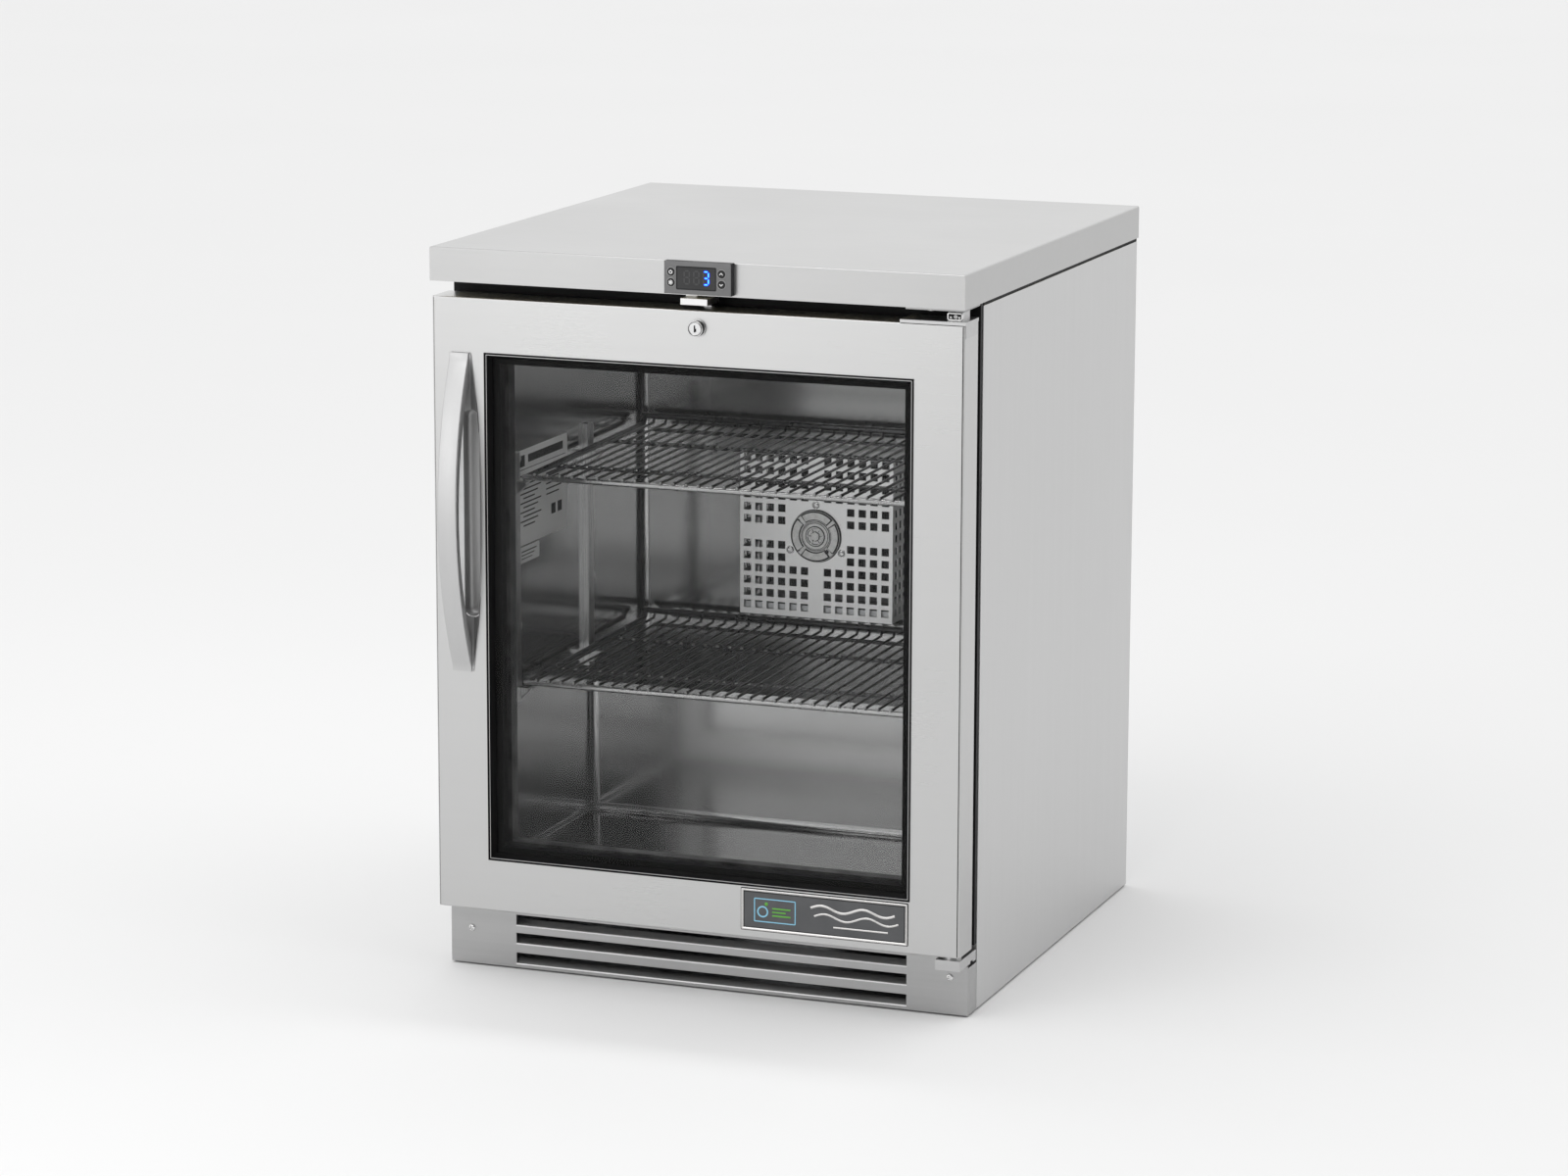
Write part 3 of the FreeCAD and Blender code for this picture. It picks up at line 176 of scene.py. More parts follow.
M = {
    "worktop": brushed("steel_worktop", (0.495, 0.495, 0.493), 0.34, "x", amount=0.012, spread=0.06, bump=0.05),
    "door": brushed("steel_door", (0.55, 0.55, 0.548), 0.30, "x", amount=0.008, spread=0.05, bump=0.04),
    # kick plate: the door's stainless with a darker base colour, painted shade for the dim floor it reflects low down
    "kick": brushed("steel_kick_painted_shade", (0.43, 0.43, 0.43), 0.36, "x", amount=0.06),
    "side": brushed("sheet_side", (0.60, 0.60, 0.60), 0.42, "z", amount=0.012, spread=0.06, bump=0.05),
    "liner": brushed("steel_liner", (0.45, 0.45, 0.45), 0.14, "x", amount=0.04, spread=0.04, cloud=0.04, bump=0.05),
    "cover": brushed("steel_cover", (0.90, 0.90, 0.90), 0.45, "x", amount=0.02, spread=0.06, bump=0.05),
    "standard": brushed("steel_standard", (0.60, 0.60, 0.60), 0.30, "z", amount=0.05),
    "zinc": moulded("sheet_galvanised", (0.55, 0.56, 0.57), 0.42, 260.0, 0.10, 0.0002, 0.14, 1.0, 0.16, 0.5, 60.0),
    "bright": moulded("steel_bright", (0.74, 0.74, 0.738), 0.20, 900.0, 0.06, 0.0001, 0.05, 1.0, 0.10),
    "lockface": moulded("steel_lock", (0.60, 0.60, 0.60), 0.24, 900.0, 0.10, 0.0001, 0.06, 1.0, 0.10),
    "strike": brushed("steel_strike", (0.80, 0.80, 0.80), 0.38, "x", amount=0.04),
    # hinge parts: steel with a darkened base colour, painted shade for the dark gap between the worktop and the door
    "hinge": moulded("steel_hinge_painted_shade", (0.34, 0.34, 0.34), 0.26, 500.0, 0.12, 0.0001, 0.12, 1.0, 0.12),
    # near-black used as painted shade: the lock collar's side and gap ring, the keyway, the cartridge's recess
    "painted_shade_black": moulded("black_painted_shade", (0.010, 0.010, 0.010), 0.55, 900.0, 0.1, 0.0001, 0.2, specular=0.2),
    # near-black: printed text on the labels, and painted shade in the door's hem groove, round the badge border and
    # under the door's hinge plate
    "print_and_painted_shade": moulded("dark_print_and_painted_shade", (0.035, 0.035, 0.035), 0.70, 900.0, 0.1, 0.0001, 0.2, specular=0.15),
    "bracket": brushed("steel_bracket", (0.52, 0.52, 0.52), 0.34, "x", amount=0.06),
    # shelf wires: the rods' plated steel with a much darker base colour, painted shade for the dim cold space
    "wire": moulded("wire_plated_painted_shade", (0.085, 0.085, 0.087), 0.30, 600.0, 0.08, 0.0001, 0.12, 1.0, 0.10),
    "rod": moulded("rod_plated", (0.52, 0.52, 0.52), 0.26, 600.0, 0.08, 0.0001, 0.08, 1.0, 0.10),
    "weld": moulded("weld_bright", (0.55, 0.55, 0.55), 0.34, 600.0, 0.2, 0.0001, 0.08, 1.0, 0.10),
    "foam": moulded("foam_cream", (0.72, 0.66, 0.50), 0.90, 500.0, 0.5, 0.0006, 0.12),
    "black": moulded("plastic_black", (0.010, 0.010, 0.011), 0.45, 1100.0, 0.18, 0.0001, 0.25, specular=0.12),
    "trim": moulded("trim_black", (0.004, 0.004, 0.0042), 0.48, 1100.0, 0.12, 0.0001, 0.25, specular=0.12),
    "foam_dark": moulded("foam_grey", (0.04, 0.04, 0.04), 0.90, 500.0, 0.5, 0.0006, 0.12, specular=0.1),
    "rubber": moulded("rubber_black", (0.010, 0.010, 0.010), 0.66, 800.0, 0.3, 0.0002, 0.2, specular=0.2),
    "spacer": brushed("anodised_spacer", (0.012, 0.012, 0.012), 0.60, "x"),
    "handle": brushed("metal_handle", (0.54, 0.54, 0.54), 0.38, "z", fine=1600.0, amount=0.02, bump=0.03),
    # near-white matt in place of lit steel: painted highlight on the kick plate's louvre lips and on the hand hold's
    # left edge
    "painted_highlight": moulded("painted_highlight_white", (0.92, 0.92, 0.92), 0.45, 900.0, 0.05, 0.0001, 0.04),
    "well": brushed("metal_well", (0.44, 0.44, 0.44), 0.46, "z", amount=0.04),
    # darker copy of the well metal: painted shade on the hand hold's right-hand facets
    "well_painted_shade": brushed("metal_well_painted_shade", (0.20, 0.20, 0.20), 0.46, "z", amount=0.04),
    "case": moulded("casing_graphite", (0.008, 0.008, 0.009), 0.46, 900.0, 0.3, 0.00015, 0.2, specular=0.3),
    "plate": brushed("faceplate_grey", (0.155, 0.155, 0.156), 0.42, "x", amount=0.10, metal=0.3, fine=2400.0, bump=0.2),
    "ring": moulded("ring_grey", (0.33, 0.33, 0.33), 0.40, 900.0, 0.1, 0.0001, 0.08),
    "ghost": moulded("segment_unlit", (0.062, 0.062, 0.064), 0.40, 900.0, 0.1, 0.0001, 0.08, specular=0.3),
    "lens": moulded("display_black", (0.030, 0.030, 0.031), 0.30, 300.0, 0.02, 0.0001, 0.2, spread=0.04, specular=0.3),
    "key": moulded("key_black", (0.008, 0.008, 0.008), 0.34, 900.0, 0.2, 0.0001, 0.2, specular=0.35),
    "plug": moulded("plug_white", (0.62, 0.62, 0.60), 0.42, 500.0, 0.15, 0.0001, 0.06),
    "fan": moulded("plastic_fan", (0.03, 0.03, 0.03), 0.45, 800.0, 0.25, 0.0002, 0.2),
    "cast": moulded("cast_alloy", (0.66, 0.66, 0.655), 0.45, 500.0, 0.55, 0.0004, 0.16, 0.85, 0.16, 0.5, 160.0),
    # darker copy of the cast alloy: painted shade on the step walls of the motor face's relief
    "cast_painted_shade": moulded("cast_alloy_painted_shade", (0.07, 0.07, 0.07), 0.50, 500.0, 0.55, 0.0004, 0.16, 0.85, 0.16, 0.5, 160.0),
    "machine": moulded("paint_black", (0.012, 0.012, 0.013), 0.30, 260.0, 0.22, 0.0004, 0.2),
    "nylon": moulded("nylon_white", (0.70, 0.69, 0.65), 0.45, 600.0, 0.15, 0.0001, 0.06),
    "copper": moulded("copper_tube", (0.80, 0.40, 0.24), 0.30, 300.0, 0.10, 0.0002, 0.18, 1.0, 0.2, 0.5, 25.0),
    "label": moulded("label_paper", (0.80, 0.80, 0.79), 0.55, 900.0, 0.08, 0.0001, 0.04),
    "badge_field": moulded("badge_enamel", (0.080, 0.082, 0.086), 0.42, 700.0, 0.25, 0.0001, 0.12),
    "badge_edge": moulded("badge_chrome", (0.62, 0.61, 0.60), 0.26, 700.0, 0.08, 0.0001, 0.05, 1.0),
    # badge paints: their own blue and green, with a faint emission as painted glow, though the badge is no lamp
    "blue": glow("light_blue_paint_painted_glow", (0.25, 0.55, 0.72), (0.25, 0.6, 0.8), 0.12),
    "green": glow("green_paint_painted_glow", (0.10, 0.38, 0.04), (0.1, 0.4, 0.03), 0.10),
    "digit": glow("digit_blue", (0.0, 0.01, 0.50), (0.0, 0.008, 1.0), 2.2),
    "core": glow("digit_core", (0.1, 0.5, 0.80), (0.05, 0.55, 1.0), 1.8),
    "icon": moulded("icon_print", (0.92, 0.92, 0.92), 0.50, 900.0, 0.05, 0.0001, 0.05),
    "glass_out": pane("glass_front", (0.975, 0.977, 0.976), 0.16),
    "glass_in": pane("glass_back", (0.98, 0.98, 0.98), 0.10),
}


def fins(name, base, pitch, axis, rough=0.45):
    """Stacked fin edges: close ridges across one axis with bent and dusty fins, and painted shade in the gaps between
    the fins.
    """
    t = Tree(name)
    w = t.t.nodes.new("ShaderNodeTexWave")
    w.wave_type = "BANDS"
    w.bands_direction = axis
    w.inputs["Scale"].default_value = 1.0 / pitch / 3.1831
    w.inputs["Distortion"].default_value = 0.4
    t.link(t.co, w.inputs["Vector"])
    c = t.noise(60.0, 3.0)
    # dark in the wave troughs as painted shade between the fins; the noise adds dusty patches
    k = t.add(t.ramp(w.outputs["Fac"], 0.1, 0.9, 0.0, 0.75), t.ramp(c, 0.3, 0.7, 0.0, 0.25))
    t.link(t.colours(k, shade(base, 0.18), base), t.b.inputs["Base Color"])
    t.b.inputs["Metallic"].default_value = 0.9
    t.link(t.ramp(c, 0.3, 0.7, rough - 0.06, rough + 0.06), t.b.inputs["Roughness"])
    t.link(t.bump(w.outputs["Fac"], 0.6, 0.0006), t.b.inputs["Normal"])
    return t.m


M["fins"] = fins("coil_fins_alu", (0.16, 0.16, 0.165), 0.0022, "X")



def frame_material():
    """Inner door frame: black where it lines the window, pale on the panel face turned to the cold space."""
    t = Tree("plastic_door_frame")
    g = t.t.nodes.new("ShaderNodeTexCoord")
    sep = t.t.nodes.new("ShaderNodeSeparateXYZ")
    t.link(g.outputs["Normal"], sep.inputs[0])
    c = t.noise(40.0, 3.0)
    k = t.add(t.ramp(sep.outputs["Y"], 0.6, 0.9, 0.0, 0.9), t.ramp(c, 0.3, 0.7, 0.0, 0.1))
    t.link(t.colours(k, (0.006, 0.006, 0.006), (0.66, 0.66, 0.66)), t.b.inputs["Base Color"])
    t.link(t.ramp(c, 0.3, 0.7, 0.42, 0.52), t.b.inputs["Roughness"])
    t.b.inputs["Specular IOR Level"].default_value = 0.15
    t.link(t.bump(t.noise(900.0, 3.0), 0.15, 0.0001), t.b.inputs["Normal"])
    return t.m


M["door_frame"] = frame_material()

LOOK = {
    "worktop": "worktop", "worktop_core": "foam", "side_panel_left": "side", "side_panel_right": "side",
    "back_panel": "zinc", "rear_grille": "zinc", "inner_casing": "zinc", "base_tray": "zinc", "condenser_shroud": "zinc",
    "control_box": "zinc", "condensate_pan": "zinc", "cord_bush": "rubber", "foam_insulation": "foam", "inner_liner": "liner",
    "breaker_strips": "black", "levelling_feet": "bright", "kick_plate": "kick", "screws": "bright", "door_skin": "door",
    "door_core": "foam_dark", "door_inner_frame": "door_frame", "window_trim": "trim", "glass_outer": "glass_out", "glass_inner": "glass_in",
    "glass_spacer": "spacer", "door_gasket": "rubber", "handle_cup": "handle", "door_handle": "handle", "badge_plate": "badge_edge",
    "lock_barrel": "bright", "lock_plug": "lockface", "lock_bolt": "bright", "lock_strike": "strike", "top_hinge_plate": "hinge",
    "door_hinge_plate": "bracket", "bottom_hinge_bracket": "bracket", "pivot_pin": "bright", "pivot_bush": "nylon",
    "controller_housing": "case", "display_lens": "lens", "button_power": "key", "button_light": "key", "button_up": "key",
    "button_down": "key", "shelf_standards": "standard", "shelf_clips": "standard", "wall_plugs": "plug", "shelf_upper": "wire",
    "shelf_lower": "wire", "fan_cover": "cover", "fan_motor": "fan", "evaporator_fan": "fan", "evaporator_coil": "fins",
    "condenser_coil": "fins", "condenser_fan": "fan", "condenser_fan_motor": "machine", "compressor": "machine",
    "compressor_grommets": "rubber", "drip_tray_and_drain": "zinc", "refrigerant_lines": "copper",
}
for name, o in N.items():
    o.data.materials.clear()
    o.data.materials.append(M[LOOK[name]])

# softened edges on the sheet and moulded parts
SOFT = {
    "kick_plate": 0.35, "side_panel_left": 0.5, "side_panel_right": 0.5,
    "controller_housing": 0.7, "door_hinge_plate": 0.35, "top_hinge_plate": 0.35,
    "bottom_hinge_bracket": 0.35, "lock_strike": 0.4, "window_trim": 0.35, "shelf_clips": 0.3, "door_gasket": 0.8,
    "breaker_strips": 0.5, "fan_cover": 0.0, "base_tray": 0.4, "back_panel": 0.2, "control_box": 0.5, "lock_bolt": 0.3,
}
for name, w in SOFT.items():
    if not w:
        continue
    o = N[name]
    weld = o.modifiers.new("weld", "WELD")
    weld.merge_threshold = 0.00002
    bev = o.modifiers.new("edge", "BEVEL")
    bev.width = w / 1000.0
    bev.segments = 3
    bev.limit_method = "ANGLE"
    bev.angle_limit = math.radians(40)
    bev.harden_normals = True
    bev.use_clamp_overlap = True


# ------------------------------------------------------------------ mesh building
class Shape:
    def __init__(self):
        self.v, self.f, self.k = [], [], []

    def take(self, verts, faces, kind=0):
        o = len(self.v)
        self.v += [Vector(p) for p in verts]
        self.f += [tuple(i + o for i in f) for f in faces]
        self.k += [kind] * len(faces)


def piece(name, shape, body, looks, stands_for=(), soft=0.0, angle=35.0, weld=True):
    me = bpy.data.meshes.new(name)
    me.from_pydata([row(p) for p in shape.v], [], shape.f)
    for m in looks:
        me.materials.append(M[m])
    for p, k in zip(me.polygons, shape.k):
        p.material_index = k
        p.use_smooth = True
    me.update()
    me.validate()
    me.set_sharp_from_angle(angle=math.radians(angle))
    o = bpy.data.objects.new(name, me)
    bpy.context.scene.collection.objects.link(o)
    if soft:
        b = o.modifiers.new("edge", "BEVEL")
        b.width = soft / 1000.0
        b.segments = 3
        b.limit_method = "ANGLE"
        b.angle_limit = math.radians(40)
        b.harden_normals = True
    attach(o, body)
    if stands_for:
        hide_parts(*stands_for)
    return o


def arc_path(points, radius, steps=6):
    """A path through points with each inner corner rounded."""
    P = [Vector(p) for p in points]
    out = [P[0]]
    for i in range(1, len(P) - 1):
        a, b, c = P[i - 1], P[i], P[i + 1]
        u, w = (a - b).normalized(), (c - b).normalized()
        ang = u.angle(w)
        if ang > math.radians(179):
            out.append(b)
            continue
        d = min(radius / math.tan(ang / 2), (a - b).length * 0.49, (c - b).length * 0.49)
        r = d * math.tan(ang / 2)
        mid = (u + w).normalized()
        centre = b + mid * (r / math.sin(ang / 2))
        s, e = b + u * d, b + w * d
        for j in range(steps + 1):
            q = (s - centre).slerp(e - centre, j / steps)
            out.append(centre + q)
    out.append(P[-1])
    return out


def tube(s, pts, r, n=12, closed=False, cap=True, kind=0):
    P = [Vector(p) for p in pts]
    m = len(P)
    T = []
    for i in range(m):
        a = P[(i - 1) % m] if closed or i > 0 else P[i]
        b = P[(i + 1) % m] if closed or i < m - 1 else P[i]
        T.append((b - a).normalized())
    ref = Vector((0, 0, 1)) if abs(T[0].z) < 0.9 else Vector((1, 0, 0))
    nn = (ref - T[0] * ref.dot(T[0])).normalized()
    rings = []
    rad = r if callable(r) else (lambda i: r)
    for i in range(m):
        nn = (nn - T[i] * nn.dot(T[i])).normalized()
        bb = T[i].cross(nn)
        rings.append((P[i], nn.copy(), bb, rad(i)))
    if not closed and cap:
        def dome(ring, t):
            p, a, b, q = ring
            return [(p + t * q * math.sin(math.radians(w)), a, b, q * math.cos(math.radians(w))) for w in (30, 58, 80)]
        start = dome(rings[0], -T[0])
        end = dome(rings[-1], T[-1])
        rings = start[::-1] + rings + end
    verts, faces = [], []
    for p, a, b, q in rings:
        for j in range(n):
            w = 2 * math.pi * j / n
            verts.append(p + (a * math.cos(w) + b * math.sin(w)) * q)
    k = len(rings)
    for i in range(k if closed else k - 1):
        for j in range(n):
            a0, a1 = i * n + j, i * n + (j + 1) % n
            b0, b1 = ((i + 1) % k) * n + j, ((i + 1) % k) * n + (j + 1) % n
            faces.append((a0, a1, b1, b0))
    if not closed:
        faces.append(tuple(range(n))[::-1])
        faces.append(tuple((k - 1) * n + j for j in range(n)))
    s.take(verts, faces, kind)


def basis(axis):
    w = Vector(axis).normalized()
    ref = Vector((0, 0, 1)) if abs(w.z) < 0.9 else Vector((1, 0, 0))
    u = ref.cross(w).normalized()
    return u, w.cross(u), w


def lathe(s, centre, axis, profile, n=32, kind=0, cap=True):
    """profile: (radius, height along the axis), from the inside out."""
    u, v, w = basis(axis)
    c = Vector(centre)
    verts, faces = [], []
    for r, h in profile:
        for j in range(n):
            a = 2 * math.pi * j / n
            verts.append(c + (u * math.cos(a) + v * math.sin(a)) * max(r, 1e-4) + w * h)
    for i in range(len(profile) - 1):
        for j in range(n):
            k = (j + 1) % n
            faces.append((i * n + j, (i + 1) * n + j, (i + 1) * n + k, i * n + k))
    if cap:
        faces.append(tuple(range(n)))
    s.take(verts, faces, kind)


def pan_head(s, centre, axis, r, h, turn=0.0, kind=0, dark=None):
    """Domed screw head with a cross recess, its underside open on the surface."""
    u, v, w = basis(axis)
    c = Vector(centre)
    n, m = 48, 14
    verts, faces, kinds = [c + w * (h - min(0.55 * h, 1.2))], [], []

    def depth(x, y):
        q = abs(x), abs(y)
        arm = 0.17 * r
        long = 0.62 * r
        def one(a, b):
            return max(0.0, min(1.0, (arm - b) / (0.10 * r) + 0.5)) * max(0.0, min(1.0, (long - a) / (0.16 * r) + 0.2))
        return max(one(q[0], q[1]), one(q[1], q[0])) * min(0.55 * h, 1.2)

    for i in range(1, m + 1):
        rho = r * (i / m) ** 0.9
        for j in range(n):
            a = 2 * math.pi * j / n
            x, y = rho * math.cos(a), rho * math.sin(a)
            dome = h * max(0.0, 1 - (rho / r) ** 3.2) ** 0.5
            ct, st = math.cos(turn), math.sin(turn)
            z = dome - min(depth(x * ct + y * st, -x * st + y * ct), max(dome - 0.05, 0))
            verts.append(c + u * x + v * y + w * z)
    for j in range(n):
        faces.append((0, 1 + j, 1 + (j + 1) % n))
    for i in range(m - 1):
        for j in range(n):
            a, b = 1 + i * n, 1 + (i + 1) * n
            faces.append((a + j, b + j, b + (j + 1) % n, a + (j + 1) % n))
    s.take(verts, faces, kind)


def prism(s, outline, y0, y1, kind=0):
    """Extrudes an outline of (x, z) points between two depths."""
    n = len(outline)
    verts = [(x, y0, z) for x, z in outline] + [(x, y1, z) for x, z in outline]
    faces = [tuple(range(n)), tuple(range(n, 2 * n))[::-1]]
    faces += [((i + 1) % n, i, n + i, n + (i + 1) % n) for i in range(n)]
    s.take(verts, faces, kind)


def round_rect(x0, x1, z0, z1, r, steps=5):
    out = []
    for cx, cz, a0 in ((x1 - r, z1 - r, 0), (x0 + r, z1 - r, 90), (x0 + r, z0 + r, 180), (x1 - r, z0 + r, 270)):
        for j in range(steps + 1):
            a = math.radians(a0 + 90.0 * j / steps)
            out.append((cx + r * math.cos(a), cz + r * math.sin(a)))
    return out


def ring_frame(s, x0, x1, z0, z1, r, profile, kind=0):
    """A rounded rectangle swept with profile points (inset, y)."""
    loops = []
    for inset, y in profile:
        q = max(r - inset, 0.15)
        loops.append([(x, y, z) for x, z in round_rect(x0 + inset, x1 - inset, z0 + inset, z1 - inset, q)])
    n = len(loops[0])
    verts = [p for l in loops for p in l]
    faces = []
    for i in range(len(loops) - 1):
        for j in range(n):
            k = (j + 1) % n
            faces.append((i * n + j, i * n + k, (i + 1) * n + k, (i + 1) * n + j))
    s.take(verts, faces, kind)


# ------------------------------------------------------------------ shelves
def shelf(name, body, zw):
    """Welded wire shelf: 32 wires on a front rod, two cross rods and side rods, raised to a stop rod at the back."""
    s = Shape()
    zr, zc = zw - 4.25, zw - 3.6
    yf, yb = 115.0, 465.0
    tube(s, [(-245.6, yf, zr), (245.6, yf, zr)], 3.25, 20, kind=1)
    side = []
    for k in (-1, 1):
        tube(s, arc_path([(k * 244, yf, zr), (k * 244, yb - 2, zr), (k * 244, yb, zw + 11)], 7.0), 3.2, 14)
    tube(s, [(-230, yb - 8, zr), (230, yb - 8, zr)], 2.4, 12)
    tube(s, [(-246.5, yb, zw + 10.6), (246.5, yb, zw + 10.6)], 3.6, 16)
    for y in (190.0, 362.0):
        tube(s, [(-243, y, zc), (243, y, zc)], 2.5, 12)
    for i in range(32):
        x = (i - 15.5) * 15.0
        wob = 0.18 * math.sin(i * 2.3) + 0.12 * math.sin(i * 5.1 + 1)
        tube(s, arc_path([(x + wob, yf - 2.0, zw - 0.2), (x, 190, zw), (x, yb - 1.2, zw), (x + wob, yb - 0.6, zw + 8.5)], 4.0, 5), 1.55, 10)
        # weld fillets where the wire meets the rods
        for y, z, r in ((yf, zw - 1.6, 1.7), (188.6, zw - 1.7, 1.9), (360.6, zw - 1.7, 1.9)):
            lathe(s, (x, y, z - 0.6), (0, 0, 1), [(0.1, 1.5), (r * 0.75, 1.2), (r * 1.15, 0.3), (r * 1.3, -0.4)], 10, kind=2)
        lathe(s, (x + wob, yf - 3.0, zw - 0.2), (0, -1, 0), [(0.1, 1.3), (0.9, 1.1), (1.45, 0.6), (1.62, 0.0), (1.62, -0.6)], 12, kind=2, cap=False)
    return piece(name, s, body, ["wire", "rod", "weld"], (name.replace("_rods", ""),), angle=50)


shelf("shelf_upper_rods", "rack_upper", 546.0)
shelf("shelf_lower_rods", "rack_lower", 313.0)

# ------------------------------------------------------------------ folded skins of the door and the worktop
def plane_with_holes(s, outer, holes, at, kind=0):
    """A flat face with holes: outlines of 2D points, placed by at(a, b), filled so that all of it lies in one plane."""
    from mathutils import geometry
    loops = [outer] + holes
    polys = [[Vector((a, b, 0.0)) for a, b in l] for l in loops]
    tri = geometry.tessellate_polygon(polys)
    flat = [p for l in loops for p in l]
    s.take([at(a, b) for a, b in flat], [tuple(t) for t in tri], kind)


def circle(cx, cz, r, n=40):
    return [(cx + r * math.cos(2 * math.pi * k / n), cz + r * math.sin(2 * math.pi * k / n)) for k in range(n)]


def obround(x0, x1, z0, z1, n=20):
    r, cx = (x1 - x0) / 2, (x0 + x1) / 2
    return ([(cx + r * math.cos(math.pi * k / n), z1 - r + r * math.sin(math.pi * k / n)) for k in range(n + 1)]
            + [(cx - r * math.cos(math.pi * k / n), z0 + r - r * math.sin(math.pi * k / n)) for k in range(n + 1)])


def rect2(x0, x1, z0, z1):
    return [(x0, z0), (x1, z0), (x1, z1), (x0, z1)]


def bend(r, y, steps=6):
    """Profile (inset, y) of a rounded fold from the face at y back to the side."""
    return [(r - r * math.sin(math.radians(90.0 * k / steps)), y + r - r * math.cos(math.radians(90.0 * k / steps))) for k in range(steps + 1)]


s = Shape()
X0, X1, Z0, Z1, YF, YB = -304.0, 304.0, 74.0, 756.0, 4.0, 47.0
RB, GL, GR = 1.5, 0.45, 1.05


def lens_right(z):
    """Right-hand edge of the lens-shaped hand hold at height z."""
    r = 1304.0
    return -247.0 - (r - math.sqrt(r * r - (z - 519.5) ** 2))


def lens_loop(t):
    """Loop between the lens outline (t = 0) and the round-ended well in it (t = 1), with a depth."""
    cx, R, za, zb, za0, zb0 = -259.8, 9.6, 413.9, 624.1, 343.6, 695.4
    out = []

    def mixed(inner, outer, side):
        out.append((inner[0] * t + outer[0] * (1 - t), inner[1] * t + outer[1] * (1 - t), side))

    n = 14
    for k in range(-12, 13):
        z = (za + zb) / 2 + (zb - za) / 2 * k / 12
        mixed((cx + R, z), (lens_right(z), z), 0)
    for k in range(1, n + 1):
        a = math.pi / 2 * k / n
        z = zb + (zb0 - zb) * math.sin(a)
        mixed((cx + R * math.cos(a), zb + R * math.sin(a)), (lens_right(z), z), 0)
    for k in range(1, n + 1):
        a = math.pi / 2 + math.pi / 2 * k / n
        z = zb + (zb0 - zb) * math.sin(a)
        mixed((cx + R * math.cos(a), zb + R * math.sin(a)), (-259.0 + 17.5 * math.cos(a), z), 1)
    for k in range(11, -12, -1):
        z = (za + zb) / 2 + (zb - za) / 2 * k / 12
        mixed((cx - R, z), (-276.5, z), 2)
    for k in range(0, n + 1):
        a = math.pi + math.pi / 2 * k / n
        z = za + (za - za0) * math.sin(a)
        mixed((cx + R * math.cos(a), za + R * math.sin(a)), (-259.0 + 17.5 * math.cos(a), z), 1)
    for k in range(1, n):
        a = 1.5 * math.pi + math.pi / 2 * k / n
        z = za + (za - za0) * math.sin(a)
        mixed((cx + R * math.cos(a), za + R * math.sin(a)), (lens_right(z), z), 0)
    return out


# face inside the hem line
plane_with_holes(s, rect2(X0 + RB + GL, X1 - RB - GR, Z0 + RB, Z1 - RB),
                 [rect2(-240.9, 245.4, 134.1, 694.4), circle(4.3, 737.3, 8.1), [(a, b) for a, b, c in lens_loop(0.55)]],
                 lambda a, b: (a, YF, b))
# hem line: a shallow groove down each side just before the fold, its faces near-black as painted shade
for x, k, g, dp in ((X0 + RB, 1, GL, 0.5), (X1 - RB, -1, GR, 1.2)):
    p = [(x + k * g, YF), (x + k * g * 0.80, YF + dp), (x + k * g * 0.20, YF + dp), (x, YF)]
    verts = [(a, y, z) for z in (Z0 + RB, Z1 - RB) for a, y in p]
    s.take(verts, [(i, i + 1, 4 + i + 1, 4 + i) if k > 0 else (i + 1, i, 4 + i, 4 + i + 1) for i in range(3)], 1)
ring_frame(s, X0, X1, Z0, Z1, RB + 0.2, bend(RB, YF))
ring_frame(s, X0, X1, Z0, Z1, 0.2, [(0.0, YF + RB), (0.0, YB), (1.0, YB), (1.0, YB - 8), (1.0, YF + 3)])
piece("door_folded_skin", s, "door", ["door", "print_and_painted_shade"], ("door_skin",), angle=32)

s = Shape()
WX, WY0, WY1, WZ0, WZ1, RW = 305.0, 0.0, 629.0, 773.0, 810.0, 1.6


def ring_top(s, x0, x1, y0, y1, profile, kind=0):
    """A rectangle in plan swept with profile points (inset, z)."""
    loops = [[(x, y, z) for x, y in round_rect(x0 + i, x1 - i, y0 + i, y1 - i, max(0.9 - i * 0.4, 0.15))] for i, z in profile]
    n = len(loops[0])
    verts = [p for l in loops for p in l]
    s.take(verts, [((i + 1) * n + j, (i + 1) * n + (j + 1) % n, i * n + (j + 1) % n, i * n + j) for i in range(len(loops) - 1) for j in range(n)][:], kind)


plane_with_holes(s, rect2(-WX + RW, WX - RW, WY0 + RW, WY1 - RW), [], lambda a, b: (a, b, WZ1))
ring_top(s, -WX, WX, WY0, WY1, [(RW - RW * math.sin(math.radians(15.0 * k)), WZ1 - RW + RW * math.cos(math.radians(15.0 * k))) for k in range(7)])
# lip: three plain sides, and the front with the controller's opening
for q in ([(WX, WY0, WZ0), (WX, WY1, WZ0), (WX, WY1, WZ1 - RW), (WX, WY0, WZ1 - RW)],
          [(WX, WY1, WZ0), (-WX, WY1, WZ0), (-WX, WY1, WZ1 - RW), (WX, WY1, WZ1 - RW)],
          [(-WX, WY1, WZ0), (-WX, WY0, WZ0), (-WX, WY0, WZ1 - RW), (-WX, WY1, WZ1 - RW)]):
    s.take(q, [(0, 1, 2, 3)])
plane_with_holes(s, rect2(-WX, WX, WZ0, WZ1 - RW), [rect2(-24.0, 44.0, 779.0, 806.0)], lambda a, b: (a, WY0, b))
